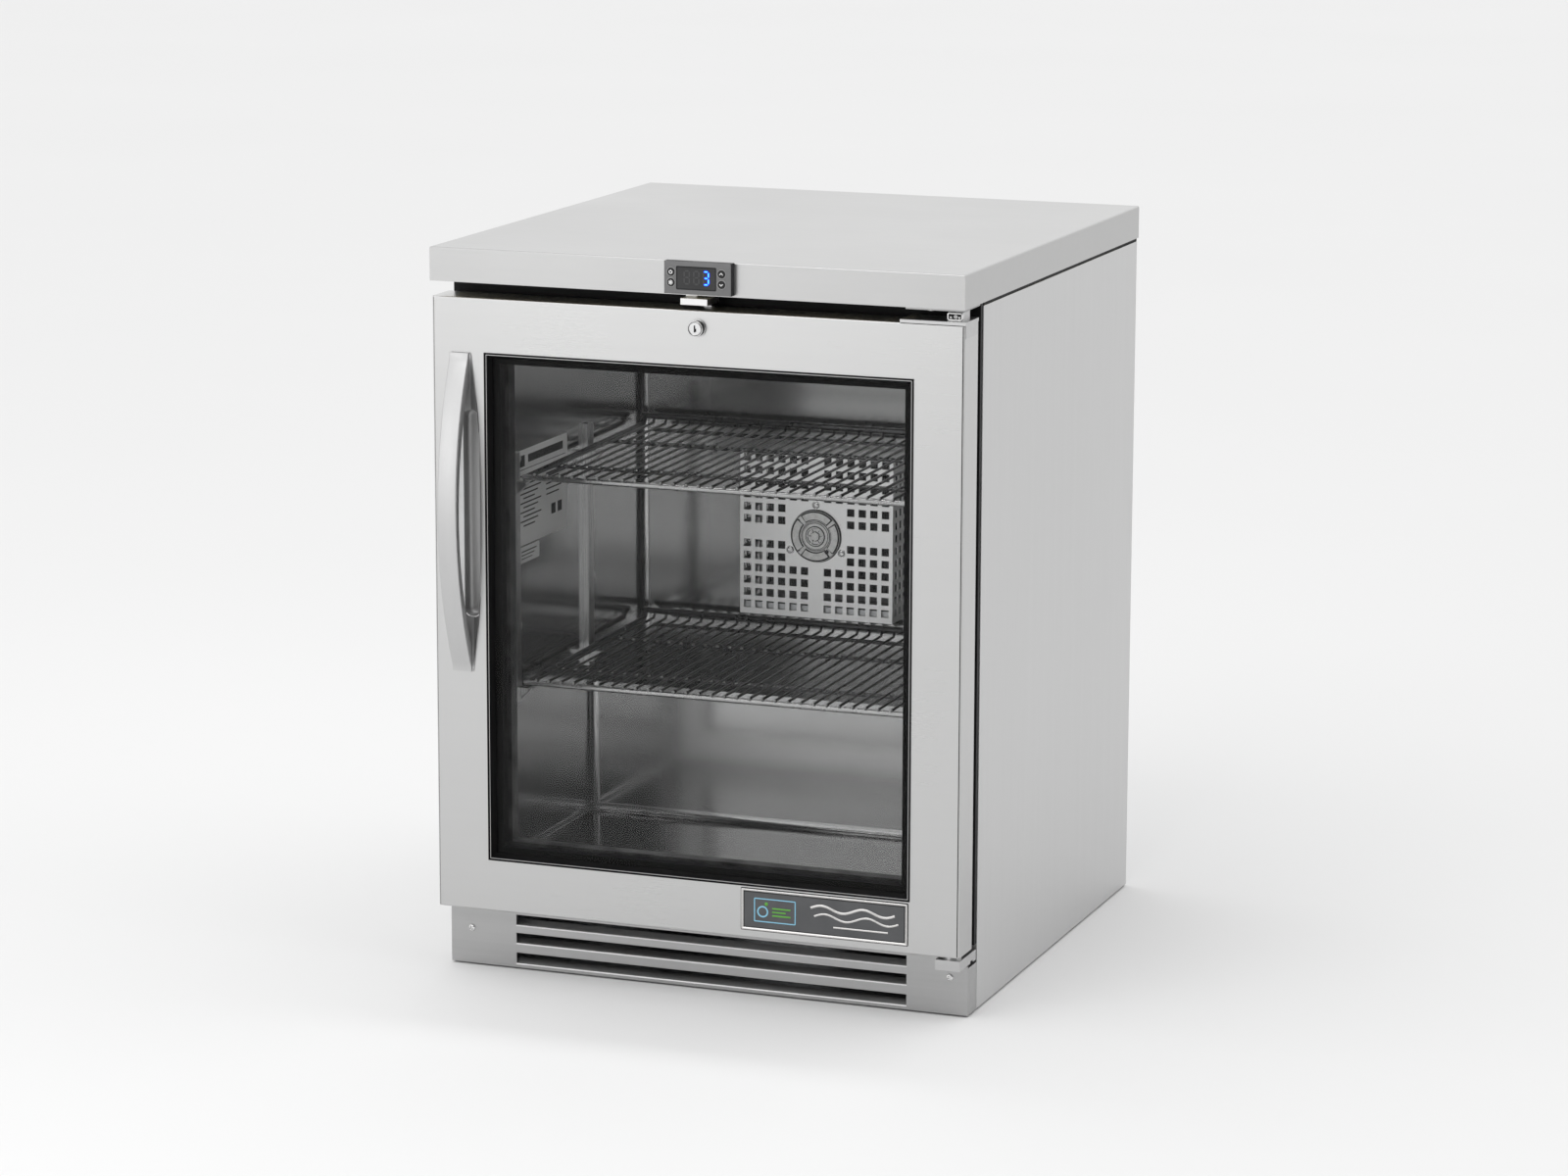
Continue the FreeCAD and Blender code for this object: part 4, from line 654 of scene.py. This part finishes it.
# returned hem under the lip
ring_top(s, -WX, WX, WY0, WY1, [(0.0, WZ0), (0.6, WZ0 - 0.0), (1.5, WZ0), (1.5, WZ0 + 12)])
piece("worktop_folded_sheet", s, "cabinet", ["worktop"], ("worktop",), angle=32)

# dark seal in the gap between the worktop and the cabinet's sides and back
s = Shape()
for x, k in ((-303.45, -1), (303.45, 1)):
    pts = [(x - k * 1.2, 768.6), (x - k * 0.3, 768.9), (x, 770.0), (x, 772.0), (x - k * 0.3, 773.0), (x - k * 1.2, 773.2)]
    verts = [(a, y, z) for y in (67.0, 626.0) for a, z in pts]
    n = len(pts)
    faces = [(i, (i + 1) % n, n + (i + 1) % n, n + i) for i in range(n)] + [tuple(range(n))[::-1], tuple(range(n, 2 * n))]
    s.take(verts, faces)
piece("worktop_seal", s, "cabinet", ["rubber"], angle=50)

# coved inner corners of the liner: rolled beads along the back corners and round its floor
def cove(s, a, b, u, v, r, steps=6):
    """A concave quarter round from a to b, tangent to the walls that leave the corner along u and v."""
    a, b, u, v = Vector(a), Vector(b), Vector(u), Vector(v)
    verts = []
    for p in (a, b):
        for k in range(steps + 1):
            w = math.radians(90.0 * k / steps)
            verts.append(p + u * (r - r * math.sin(w)) + v * (r - r * math.cos(w)))
    n = steps + 1
    s.take(verts, [(k, k + 1, n + k + 1, n + k) for k in range(steps)])


s = Shape()
e = 0.06
for x, k in ((-257 + e, 1), (257 - e, -1)):
    cove(s, (x, 486 - e, 266), (x, 486 - e, 714), (k, 0, 0), (0, -1, 0), 9.0)
    cove(s, (x, 331 - e, 113), (x, 331 - e, 264), (k, 0, 0), (0, -1, 0), 9.0)
    cove(s, (x, 67, 112 + e), (x, 330, 112 + e), (k, 0, 0), (0, 0, 1), 9.0)
cove(s, (-256, 331 - e, 112 + e), (256, 331 - e, 112 + e), (0, -1, 0), (0, 0, 1), 9.0)
piece("liner_coves", s, "cabinet", ["liner"], angle=60)

# ------------------------------------------------------------------ handle
def circle_through(half, sag):
    return (half * half + sag * sag) / (2 * sag)


s = Shape()
zm = 519.5
ro, ri = circle_through(176.5, 38.5), circle_through(146.5, 30.0)
stations = 72
loops = []
for i in range(stations + 1):
    z = 343.2 + (695.8 - 343.2) * i / stations
    d = z - zm
    yo = 2.5 - (math.sqrt(ro * ro - d * d) - (ro - 38.5))
    yi = 2.5 - (math.sqrt(ri * ri - d * d) - (ri - 30.0)) if abs(d) < 146.5 else 2.5
    yo = min(yo, 0.6)
    yi = min(max(yi, yo + 1.9), 2.5)
    r = min(1.5, (yi - yo) * 0.45)
    x0, x1 = -283.0, -260.4
    loop = []
    for cx, cy, a0 in ((x1 - r, yi - r, 0), (x0 + r, yi - r, 90), (x0 + r, yo + r, 180), (x1 - r, yo + r, 270)):
        for j in range(5):
            a = math.radians(a0 + 90.0 * j / 4)
            loop.append((cx + r * math.cos(a), cy + r * math.sin(a), z))
    loops.append(loop)
n = len(loops[0])
verts = [p for l in loops for p in l]
faces = [(i * n + j, i * n + (j + 1) % n, (i + 1) * n + (j + 1) % n, (i + 1) * n + j) for i in range(stations) for j in range(n)]
faces += [tuple(range(n))[::-1], tuple(stations * n + j for j in range(n))]
s.take(verts, faces)
piece("handle_bow", s, "door", ["handle"], ("door_handle",), angle=50)

# lens-shaped hand hold: a proud rim, facets that fall to a round-ended well, and the well itself
s = Shape()
loops = [([(x, z) for x, z, c in lens_loop(0.0)], 4.0), ([(x, z) for x, z, c in lens_loop(0.0)], 2.75), ([(x, z) for x, z, c in lens_loop(0.02)], 2.5),
         ([(x, z) for x, z, c in lens_loop(0.10)], 2.62), ([(x, z) for x, z, c in lens_loop(0.55)], 3.75), ([(x, z) for x, z, c in lens_loop(0.96)], 4.75), ([(x, z) for x, z, c in lens_loop(1.0)], 5.1)]
sides = [c for x, z, c in lens_loop(0.0)]
n = len(sides)
verts = [(x, y, z) for l, y in loops for x, z in l]
o = len(s.v)
for i in range(len(loops) - 1):
    for j in range(n):
        k = (j + 1) % n
        side = sides[j] if sides[j] == sides[k] else max(sides[j], sides[k])
        # kinds: the right-hand facets take the well's painted-shade copy, the left-hand facets the near-white painted
        # highlight
        kind = {0: 0, 1: 0, 2: 4}[side] if i < 3 else {0: 2, 1: 1, 2: 4}[side]
        s.take([verts[q] for q in (i * n + j, i * n + k, (i + 1) * n + k, (i + 1) * n + j)], [(0, 1, 2, 3)], kind)
cx, R, za, zb = -259.8, 9.6, 413.9, 624.1
per = []
for k in range(25):
    a = math.pi * k / 24
    per.append((math.cos(a), math.sin(a), 1))
for k in range(1, 24):
    per.append((-1.0, 0.0, 1 - 2 * k / 24))
for k in range(25):
    a = math.pi + math.pi * k / 24
    per.append((math.cos(a), math.sin(a), -1))
for k in range(1, 24):
    per.append((1.0, 0.0, -1 + 2 * k / 24))
prof = [(1.0, 5.1), (0.985, 7.0), (0.96, 9.5), (0.92, 12.0), (0.86, 14.2), (0.76, 15.6), (0.60, 16.4), (0.36, 16.8), (0.12, 16.95), (0.0, 17.0)]
verts, faces = [], []
for k, y in prof:
    for a, b, e in per:
        zc = (zb + za) / 2 + e * (zb - za) / 2
        verts.append((cx + a * R * k, y, zc + b * R * k))
n = len(per)
for i in range(len(prof) - 1):
    for j in range(n):
        k = (j + 1) % n
        faces.append((i * n + j, (i + 1) * n + j, (i + 1) * n + k, i * n + k))
s.take(verts, faces, 1)
# polished lip at the lower end of the well
pts = [(cx + (R + 0.2) * math.cos(math.radians(a)), 4.7, za + (R + 0.2) * math.sin(math.radians(a))) for a in range(222, 319, 6)]
tube(s, pts, 0.75, 10, kind=3)
piece("hand_hold_dish", s, "door", ["handle", "well", "well_painted_shade", "bright", "painted_highlight"], ("handle_cup",), angle=40)

# ------------------------------------------------------------------ fan motor face
s = Shape()
fx, fz = 1.0, 445.0


def motor_height(r, a):
    """Height of the cast face above the disc, in mm, at radius r and angle a in degrees."""
    h = 0.25
    pad = False
    for lo, hi in ((138, 222), (232, 308), (-42, 34), (44, 128)):
        t = a % 360
        if (lo <= t <= hi) or (lo <= t - 360 <= hi):
            edge = min(abs((t - lo + 180) % 360 - 180), abs((t - hi + 180) % 360 - 180)) * math.pi / 180 * r
            if 18.6 < r < 28.6:
                k = min(1.0, edge / 0.8) * min(1.0, (r - 18.6) / 0.8) * min(1.0, (28.6 - r) / 0.8)
                h = 0.25 + 1.35 * k
                pad = True
    if 16.2 < r < 18.0:
        h = 1.4
    if 11.6 < r < 15.4:
        h = 0.8
    if 9.2 < r < 11.2:
        h = 1.6
    if 5.6 < r <= 9.2:
        h = 0.5 + (1.0 if min(abs((a - b + 180) % 360 - 180) for b in range(0, 360, 60)) * math.pi / 180 * r < 0.8 else 0.0)
    hexr = 5.0 / max(math.cos(math.radians(((a + 30) % 60) - 30)), 0.5)
    if r < hexr:
        h = 1.9
    if r > 28.9:
        h = 1.3
    x, z = r * math.cos(math.radians(a)), r * math.sin(math.radians(a))
    if math.hypot(x - 14, z + 17) < 2.3:
        h = 0.06
    return h


rr = [0.0] + [0.6 * i for i in range(1, 50)] + [29.8]
na = 216
verts, faces = [], []
for r in rr:
    for j in range(na):
        a = 360.0 * j / na
        h = motor_height(r, a)
        verts.append((fx + max(r, 0.01) * math.cos(math.radians(a)), 377.95 - h, fz + max(r, 0.01) * math.sin(math.radians(a))))
for j in range(na):
    a = 360.0 * j / na
    verts.append((fx + 30.0 * math.cos(math.radians(a)), 378.6, fz + 30.0 * math.sin(math.radians(a))))
for i in range(len(rr)):
    for j in range(na):
        k = (j + 1) % na
        faces.append((i * na + j, i * na + k, (i + 1) * na + k, (i + 1) * na + j))
s.take(verts, faces)
# step walls of the relief take the darker cast copy as painted shade; the small round dip takes the black fan plastic
for i, f in enumerate(s.f):
    d = [377.95 - s.v[q].y for q in f]
    c = sum((s.v[q] for q in f), Vector()) / 4
    if max(d) - min(d) > 0.25:
        s.k[i] = 1
    elif math.hypot(c.x - fx - 14, c.z - fz + 17) < 2.4:
        s.k[i] = 2
piece("fan_motor_face", s, "cabinet", ["cast", "cast_painted_shade", "fan"], angle=28)

# ------------------------------------------------------------------ screws
s = Shape()
for a, t in ((90, 0.4), (210, 1.1), (330, 0.1)):
    x, z = fx + 36 * math.cos(math.radians(a)), fz + 36 * math.sin(math.radians(a))
    lathe(s, (x, 380.0, z), (0, -1, 0), [(5.2, 0.0), (5.2, 0.45), (4.3, 0.5)], 32, cap=False)
    pan_head(s, (x, 379.6, z), (0, -1, 0), 4.4, 2.4, t)
for x, z, t in ((-278.7, 42.4, 0.5), (283.5, 43.3, 0.35)):
    pan_head(s, (x, 36.0, z), (0, -1, 0), 4.1, 1.85, t)
for x, y, t in ((264, 12, 0.2), (250, 44, 0.9), (278, 48, 0.5)):
    pan_head(s, (x, y, 770.45), (0, 0, -1), 4.0, 1.85, t)
piece("screw_heads", s, "cabinet", ["bright"], ("screws",), angle=60)

# ------------------------------------------------------------------ badge
s = Shape()
prof = [(0.0, 4.0), (0.0, 2.75), (0.35, 2.3), (1.0, 2.2), (1.7, 2.3), (2.35, 2.7), (2.7, 3.15)]
ring_frame(s, 55.5, 246.0, 83.0, 129.0, 1.2, prof)
# dark rings just outside and just inside the border: painted shadow round the raised border
ring_frame(s, 54.6, 246.9, 82.1, 129.9, 1.6, [(0.0, 3.97), (0.1, 3.9), (0.9, 3.9)], 1)
ring_frame(s, 55.5, 246.0, 83.0, 129.0, 1.2, [(2.7, 3.0), (2.75, 2.95), (3.7, 2.98)], 1)
piece("badge_border", s, "door", ["badge_edge", "print_and_painted_shade"], ("badge_plate",), angle=60)
s = Shape()
prism(s, round_rect(57.6, 243.9, 85.1, 126.9, 0.6), 3.05, 3.9)
piece("badge_field_sheet", s, "door", ["badge_field"])


def stroke(s, pts, w, y0, y1, kind=0):
    """A flat raised line of width w through (x, z) points, with a chamfered top."""
    P = [Vector((x, z)) for x, z in pts]
    left, right = [], []
    for i, p in enumerate(P):
        a = P[max(i - 1, 0)]
        b = P[min(i + 1, len(P) - 1)]
        t = (b - a).normalized()
        q = Vector((-t.y, t.x)) * w / 2
        left.append(p + q)
        right.append(p - q)
    n = len(P)
    c = 0.22 * w
    verts, faces = [], []
    for i in range(n):
        l, r, p = left[i], right[i], P[i]
        li, ri_ = l + (p - l) * 0.3, r + (p - r) * 0.3
        verts += [(l.x, y1, l.y), (l.x, y0 + c * 0.6, l.y), (li.x, y0, li.y), (ri_.x, y0, ri_.y), (r.x, y0 + c * 0.6, r.y), (r.x, y1, r.y)]
    for i in range(n - 1):
        for j in range(5):
            faces.append((i * 6 + j, i * 6 + j + 1, (i + 1) * 6 + j + 1, (i + 1) * 6 + j))
    faces += [tuple(range(6))[::-1], tuple((n - 1) * 6 + j for j in range(6))]
    s.take(verts, faces, kind)


s = Shape()
ring_frame(s, 70.5, 118.5, 93.0, 119.5, 1.2, [(0.0, 3.1), (0.0, 2.75), (0.2, 2.6), (0.9, 2.6), (1.1, 2.75), (1.1, 3.1)], 0)
pts = [(80.5 + 5.6 * math.cos(a), 104.6 + 5.6 * math.sin(a)) for a in [2 * math.pi * k / 32 for k in range(33)]]
stroke(s, pts, 1.6, 2.6, 3.1, 0)
for x0, x1, z in ((91.5, 112.5, 109.0), (91.5, 107.0, 105.0), (91.5, 112.5, 101.0)):
    stroke(s, [(x0, z), (x1, z)], 1.7, 2.65, 3.1, 1)
lathe(s, (84.6, 3.1, 113.4), (0, -1, 0), [(0.1, 0.55), (1.3, 0.45), (1.9, 0.2), (2.0, 0.0)], 24, 1)
piece("badge_emblem", s, "door", ["blue", "green"], angle=60)
s = Shape()
for z, a0, a1, amp, w in ((114.5, 136.0, 232.0, 3.2, 3.0), (105.5, 140.0, 236.0, 3.2, 2.4)):
    pts = [(a0 + (a1 - a0) * k / 120, z + amp * math.sin(2 * math.pi * 2 * k / 120)) for k in range(121)]
    stroke(s, pts, w, 2.3, 3.1)
stroke(s, [(162.0, 95.0), (224.0, 95.0)], 2.0, 2.45, 3.1)
piece("badge_waves", s, "door", ["badge_edge"], angle=60)

# ------------------------------------------------------------------ controller face
s = Shape()


def seg(s, a, b, w, y0, y1):
    """One tapered display segment from a to b."""
    A, B = Vector(a), Vector(b)
    t = (B - A).normalized()
    q = Vector((-t.y, t.x)) * w / 2
    A2, B2 = A + t * w / 2, B - t * w / 2
    prism(s, [tuple(A), tuple(A2 + q), tuple(B2 + q), tuple(B), tuple(B2 - q), tuple(A2 - q)], y0, y1)


dx, dz, hw, hh = 19.6, 793.0, 2.9, 6.9
lit = (((-hw, hh), (hw, hh)), ((-hw + 0.4, 0), (hw, 0)), ((-hw, -hh), (hw, -hh)), ((hw, hh), (hw, 0)), ((hw, 0), (hw, -hh)))
unlit = (((-hw, hh), (-hw, 0)), ((-hw, 0), (-hw, -hh)))


def figure(s, parts, cx, w, gap, y0, y1):
    for a, b in parts:
        A, B = Vector(a), Vector(b)
        t = (B - A).normalized()
        A, B = A + t * gap, B - t * gap
        seg(s, (cx + A.x, dz + A.y), (cx + B.x, dz + B.y), w, y0, y1)


figure(s, lit, dx, 2.3, 0.1, -9.34, -9.18)
piece("display_figure", s, "cabinet", ["digit"])
s = Shape()
figure(s, lit, dx, 0.95, 0.9, -9.42, -9.2)
piece("display_figure_core", s, "cabinet", ["core"])
s = Shape()
figure(s, unlit, dx, 1.5, 0.5, -9.27, -9.18)
for q in (-2.2, 8.7):
    figure(s, lit + unlit, q, 1.5, 0.5, -9.27, -9.18)
piece("display_unlit", s, "cabinet", ["ghost"])

# brushed faceplate on the front of the casing
s = Shape()
plane_with_holes(s, round_rect(-27.5, 47.5, 775.5, 809.2, 1.2), [rect2(-14.0, 31.0, 780.0, 804.5)] + [circle(x, z, 4.7, 32) for x, z in ((-20.2, 798.2), (-20.2, 787.0), (37.2, 798.2), (37.2, 787.0))],
                 lambda a, b: (a, -9.3, b))
ring_frame(s, -27.9, 47.9, 775.1, 809.6, 1.6, [(0.0, -8.9), (0.0, -9.15), (0.4, -9.3)])
piece("controller_faceplate", s, "cabinet", ["plate"], angle=40)

# moulded rim round the display and round each key
s = Shape()
ring_frame(s, -14.4, 31.4, 779.6, 804.9, 1.4, [(0.0, -9.1), (0.1, -9.36), (0.4, -9.45), (0.8, -9.38), (1.4, -9.1)])
for x, z in ((-20.2, 798.2), (-20.2, 787.0), (37.2, 798.2), (37.2, 787.0)):
    lathe(s, (x, -9.0, z), (0, -1, 0), [(4.25, -0.5), (4.28, 0.2), (4.4, 0.42), (4.75, 0.48), (5.0, 0.3)], 40, cap=False, kind=1)
piece("controller_rims", s, "cabinet", ["case", "ring"], angle=60)


def icon(name, body, x, z, strokes, rings):
    s = Shape()
    for pts in strokes:
        stroke(s, [(x + a, z + b) for a, b in pts], 0.95, -10.32, -10.15)
    for r, a0, a1 in rings:
        stroke(s, [(x + r * math.cos(math.radians(a0 + (a1 - a0) * k / 24)), z + r * math.sin(math.radians(a0 + (a1 - a0) * k / 24))) for k in range(25)], 0.85, -10.32, -10.15)
    piece(name, s, body, ["icon"])


icon("mark_power", "power_key", -20.2, 798.2, [[(0, 0.4), (0, 2.3)]], [(1.7, 130, 410)])
icon("mark_light", "light_key", -20.2, 787.0, [[(math.cos(math.radians(a)) * 1.6, math.sin(math.radians(a)) * 1.6), (math.cos(math.radians(a)) * 2.5, math.sin(math.radians(a)) * 2.5)] for a in range(0, 360, 45)], [(0.95, 0, 360)])
icon("mark_up", "up_key", 37.2, 798.2, [[(-1.8, -0.8), (0, 1.3), (1.8, -0.8)]], [])
icon("mark_down", "down_key", 37.2, 787.0, [[(-1.8, 0.8), (0, -1.3), (1.8, 0.8)]], [])

# ------------------------------------------------------------------ labels on the left wall
s = Shape()
for y0, y1, z0, z1 in ((121.0, 261.0, 460.0, 568.0), (124.0, 180.0, 440.0, 458.0)):
    pts = round_rect(y0, y1, z0, z1, 2.0, 4)
    n = len(pts)
    verts = [(-256.95, a, b) for a, b in pts] + [(-256.6, a, b) for a, b in pts]
    faces = [tuple(range(n))[::-1], tuple(range(n, 2 * n))] + [(i, (i + 1) % n, n + (i + 1) % n, n + i) for i in range(n)]
    s.take(verts, faces)
piece("blank_labels", s, "cabinet", ["label"])
s = Shape()
for y0, y1, z0, z1 in ([(150.0, 248.0, 552.0, 561.0), (127.0, 141.0, 549.0, 562.0), (127.0, 255.0, 545.2, 546.0)]
                       + [(128.0 + 8 * (k % 2), 186.0 - 9 * (k % 3), 538.0 - 5.2 * k, 539.6 - 5.2 * k) for k in range(12)]
                       + [(200.0, 250.0 - 7 * (k % 3), 536.0 - 6.0 * k, 537.6 - 6.0 * k) for k in range(6)]
                       + [(214.0, 226.0, 482.0, 494.0), (232.0, 244.0, 482.0, 494.0), (130.0, 172.0, 452.0, 453.4), (130.0, 166.0, 448.0, 449.2), (130.0, 160.0, 444.2, 445.2)]):
    s.take([(-256.5, y0, z0), (-256.5, y1, z0), (-256.5, y1, z1), (-256.5, y0, z1)], [(0, 1, 2, 3)])
piece("label_bars", s, "cabinet", ["print_and_painted_shade"])

# ------------------------------------------------------------------ lock face
s = Shape()
lx, lz = 4.3, 737.3
# the thin ring at r 7.1-7.7 and the collar's side are near-black as painted shade: the dark gap and the shadow on the
# side
lathe(s, (lx, 4.0, lz), (0, -1, 0), [(6.56, 4.5), (6.56, 6.15), (6.75, 6.38), (6.95, 6.42), (7.1, 6.30)], 56, cap=False)
lathe(s, (lx, 4.0, lz), (0, -1, 0), [(7.1, 6.30), (7.2, 6.22), (7.6, 6.22), (7.7, 6.30)], 56, cap=False, kind=1)
lathe(s, (lx, 4.0, lz), (0, -1, 0), [(7.7, 6.30), (8.0, 6.42), (8.35, 6.38), (8.68, 6.05), (8.72, 5.6)], 56, cap=False)
lathe(s, (lx, 4.0, lz), (0, -1, 0), [(8.70, 5.6), (8.62, 5.4), (8.66, 0.5)], 56, cap=False, kind=1)
lathe(s, (lx, 4.0, lz), (0, -1, 0), [(8.66, 0.5), (9.1, 0.5), (9.3, 0.3), (9.35, 0.0)], 56, cap=False)
piece("lock_collar", s, "door", ["lockface", "painted_shade_black"], angle=50)
# near-black prism just inside the keyway: painted shade in the key slot
s = Shape()
prism(s, rect2(lx - 1.25, lx + 0.35, lz - 3.65, lz + 3.65), -2.05, -1.2)
prism(s, rect2(lx + 0.35, lx + 1.45, lz - 3.05, lz + 0.25), -2.05, -1.2)
piece("keyway_shadow", s, "lock_cylinder", ["painted_shade_black"])

# oval guard round the bolt's hole on top of the door, and a near-black strip under the door's hinge plate as painted
# shadow
s = Shape()
outer = [(lx + 4.3 * math.cos(a) + (3.0 if math.cos(a) > 0 else -3.0), 39.0 + 4.4 * math.sin(a)) for a in [2 * math.pi * k / 40 for k in range(40)]]
inner = [(lx - 4.25, 35.8), (lx + 4.25, 35.8), (lx + 4.25, 42.2), (lx - 4.25, 42.2)]
plane_with_holes(s, outer, [inner], lambda a, b: (a, b, 756.5))
m = len(outer)
s.take([(a, b, 756.5) for a, b in outer] + [(a, b, 756.0) for a, b in outer], [(k, (k + 1) % m, m + (k + 1) % m, m + k) for k in range(m)])
piece("bolt_guard", s, "door", ["rod"], angle=50)
s = Shape()
prism(s, [(232.4, 754.7), (303.2, 754.7), (303.2, 755.9), (232.4, 755.9)], 4.12, 6.5)
piece("hinge_plate_painted_shadow", s, "door", ["print_and_painted_shade"])

# front of the self-closing cartridge: a rolled rim round a recess with a hex stud and two pins; the recess floor is
# near-black as painted shade, and the stud is in the hinge's darkened steel
s = Shape()
hx, hy = 290.0, 12.0
ring_frame(s, hx - 8.6, hx + 8.6, 759.6, 768.2, 2.2, [(0.0, hy + 3.0), (0.0, hy - 0.1), (0.5, hy - 0.5), (1.2, hy - 0.55), (1.6, hy - 0.3), (1.9, hy + 0.5)])
prism(s, round_rect(hx - 6.9, hx + 6.9, 761.3, 766.5, 0.8), hy - 0.06, hy + 0.6, 1)
prism(s, [(hx + 1.0 + 2.5 * math.cos(math.radians(60 * k)), 764.0 + 2.3 * math.sin(math.radians(60 * k))) for k in range(6)], hy - 0.5, hy, 2)
for q, w in ((-4.3, 763.0), (4.9, 762.9)):
    lathe(s, (hx + q, hy, w), (0, -1, 0), [(0.1, 0.6), (0.9, 0.5), (1.4, 0.1), (1.4, -0.1)], 16)
piece("cartridge_front", s, "door", ["bright", "painted_shade_black", "hinge"], angle=40)

# rolled lower lips of the kick plate's louvres, in near-white matt as painted highlight
s = Shape()
for z in (6.3, 29.5, 50.5):
    tube(s, [(-224.6, 36.15, z - 0.15), (233.6, 36.15, z - 0.15)], 0.85, 12)
piece("louvre_lips", s, "cabinet", ["painted_highlight"], angle=60)

# ------------------------------------------------------------------ floor, light, camera
me = bpy.data.meshes.new("floor")
me.from_pydata([(-60, -60, 0), (60, -60, 0), (60, 60, 0), (-60, 60, 0)], [], [(0, 1, 2, 3)])
t = Tree("floor_pale")
c = t.noise(0.8, 3.0)
t.link(t.colours(c, (0.80, 0.80, 0.80), (0.82, 0.82, 0.82)), t.b.inputs["Base Color"])
t.b.inputs["Roughness"].default_value = 0.85
t.b.inputs["Specular IOR Level"].default_value = 0.1
me.materials.append(t.m)
floor = bpy.data.objects.new("floor", me)
bpy.context.scene.collection.objects.link(floor)
world = bpy.data.worlds.new("studio")
bpy.context.scene.world = world
world.use_nodes = True
wt = world.node_tree
wco = wt.nodes.new("ShaderNodeTexCoord")
wsep = wt.nodes.new("ShaderNodeSeparateXYZ")
wt.links.new(wco.outputs["Generated"], wsep.inputs[0])
wramp = wt.nodes.new("ShaderNodeValToRGB")
wt.links.new(wsep.outputs["Z"], wramp.inputs["Fac"])
# white studio: even walls down to just below the horizon, a greyer ground further down, brighter overhead
wmap = wt.nodes.new("ShaderNodeMapRange")
wmap.inputs["From Min"].default_value = -1.0
wmap.inputs["From Max"].default_value = 1.0
wt.links.new(wsep.outputs["Z"], wmap.inputs["Value"])
wt.links.new(wmap.outputs["Result"], wramp.inputs["Fac"])
els = wramp.color_ramp.elements
els[0].position, els[0].color = 0.20, (0.36, 0.36, 0.36, 1)
els[1].position, els[1].color = 0.330, (0.93, 0.93, 0.93, 1)
e2 = els.new(0.465)
e2.color = (0.95, 0.95, 0.95, 1)
e3 = els.new(0.80)
e3.color = (1.0, 1.0, 1.0, 1)
wt.links.new(wramp.outputs["Color"], wt.nodes["Background"].inputs["Color"])
wdot = wt.nodes.new("ShaderNodeVectorMath")
wdot.operation = "DOT_PRODUCT"
wdot.inputs[1].default_value = (0.62, -0.78, 0.0)
wt.links.new(wco.outputs["Generated"], wdot.inputs[0])
wshade = wt.nodes.new("ShaderNodeMapRange")
wshade.inputs["From Min"].default_value = 0.62
wshade.inputs["From Max"].default_value = 0.84
wshade.inputs["To Min"].default_value = 1.15
wshade.inputs["To Max"].default_value = 0.16
wt.links.new(wdot.outputs["Value"], wshade.inputs["Value"])
wt.links.new(wshade.outputs["Result"], wt.nodes["Background"].inputs["Strength"])


def area(name, at, target, size, power, shape="RECTANGLE", size_y=None, colour=(1, 1, 1)):
    l = bpy.data.lights.new(name, "AREA")
    l.shape = shape
    l.size = size
    if size_y:
        l.size_y = size_y
    l.energy = power
    l.color = colour
    o = bpy.data.objects.new(name, l)
    o.visible_camera = False
    d = Vector(target) - Vector(at)
    o.matrix_world = Matrix.Translation(Vector(at)) @ d.to_track_quat("-Z", "Y").to_matrix().to_4x4()
    bpy.context.scene.collection.objects.link(o)
    return o


area("top", (-0.4, -2.2, 3.2), (0.0, 0.0, 0.5), 2.2, 20.0, size_y=2.0)
area("front", (-1.25, -2.9, 0.95), (0.0, 0.0, 0.6), 1.7, 6.0, size_y=1.4)
area("inside", (0.02, -0.15, 0.705), (0.05, 0.12, 0.30), 0.40, 0.30, size_y=0.05)
low = area("inside_low", (0.0, -0.06, 0.285), (0.0, -0.25, 0.13), 0.44, 1.1, size_y=0.04)
low.visible_glossy = False

cam = bpy.data.cameras.new("camera")
cam.lens = 112.1
cam.sensor_width = 36.0
cam.clip_end = 200.0
co = bpy.data.objects.new("camera", cam)
yaw, pitch, roll = math.radians(20.64), math.radians(-11.53), math.radians(0.16)
fwd = Vector((-math.sin(yaw) * math.cos(pitch), math.cos(yaw) * math.cos(pitch), math.sin(pitch)))
right = Vector((math.cos(yaw), math.sin(yaw), 0))
up = right.cross(fwd)
r2 = right * math.cos(roll) + up * math.sin(roll)
u2 = up * math.cos(roll) - right * math.sin(roll)
m = Matrix((r2, u2, -fwd)).transposed().to_4x4()
m.translation = Vector((1.900, -5.0615, 1.503))
co.matrix_world = m
bpy.context.scene.collection.objects.link(co)
bpy.context.scene.camera = co
bpy.context.scene.view_settings.view_transform = "Standard"

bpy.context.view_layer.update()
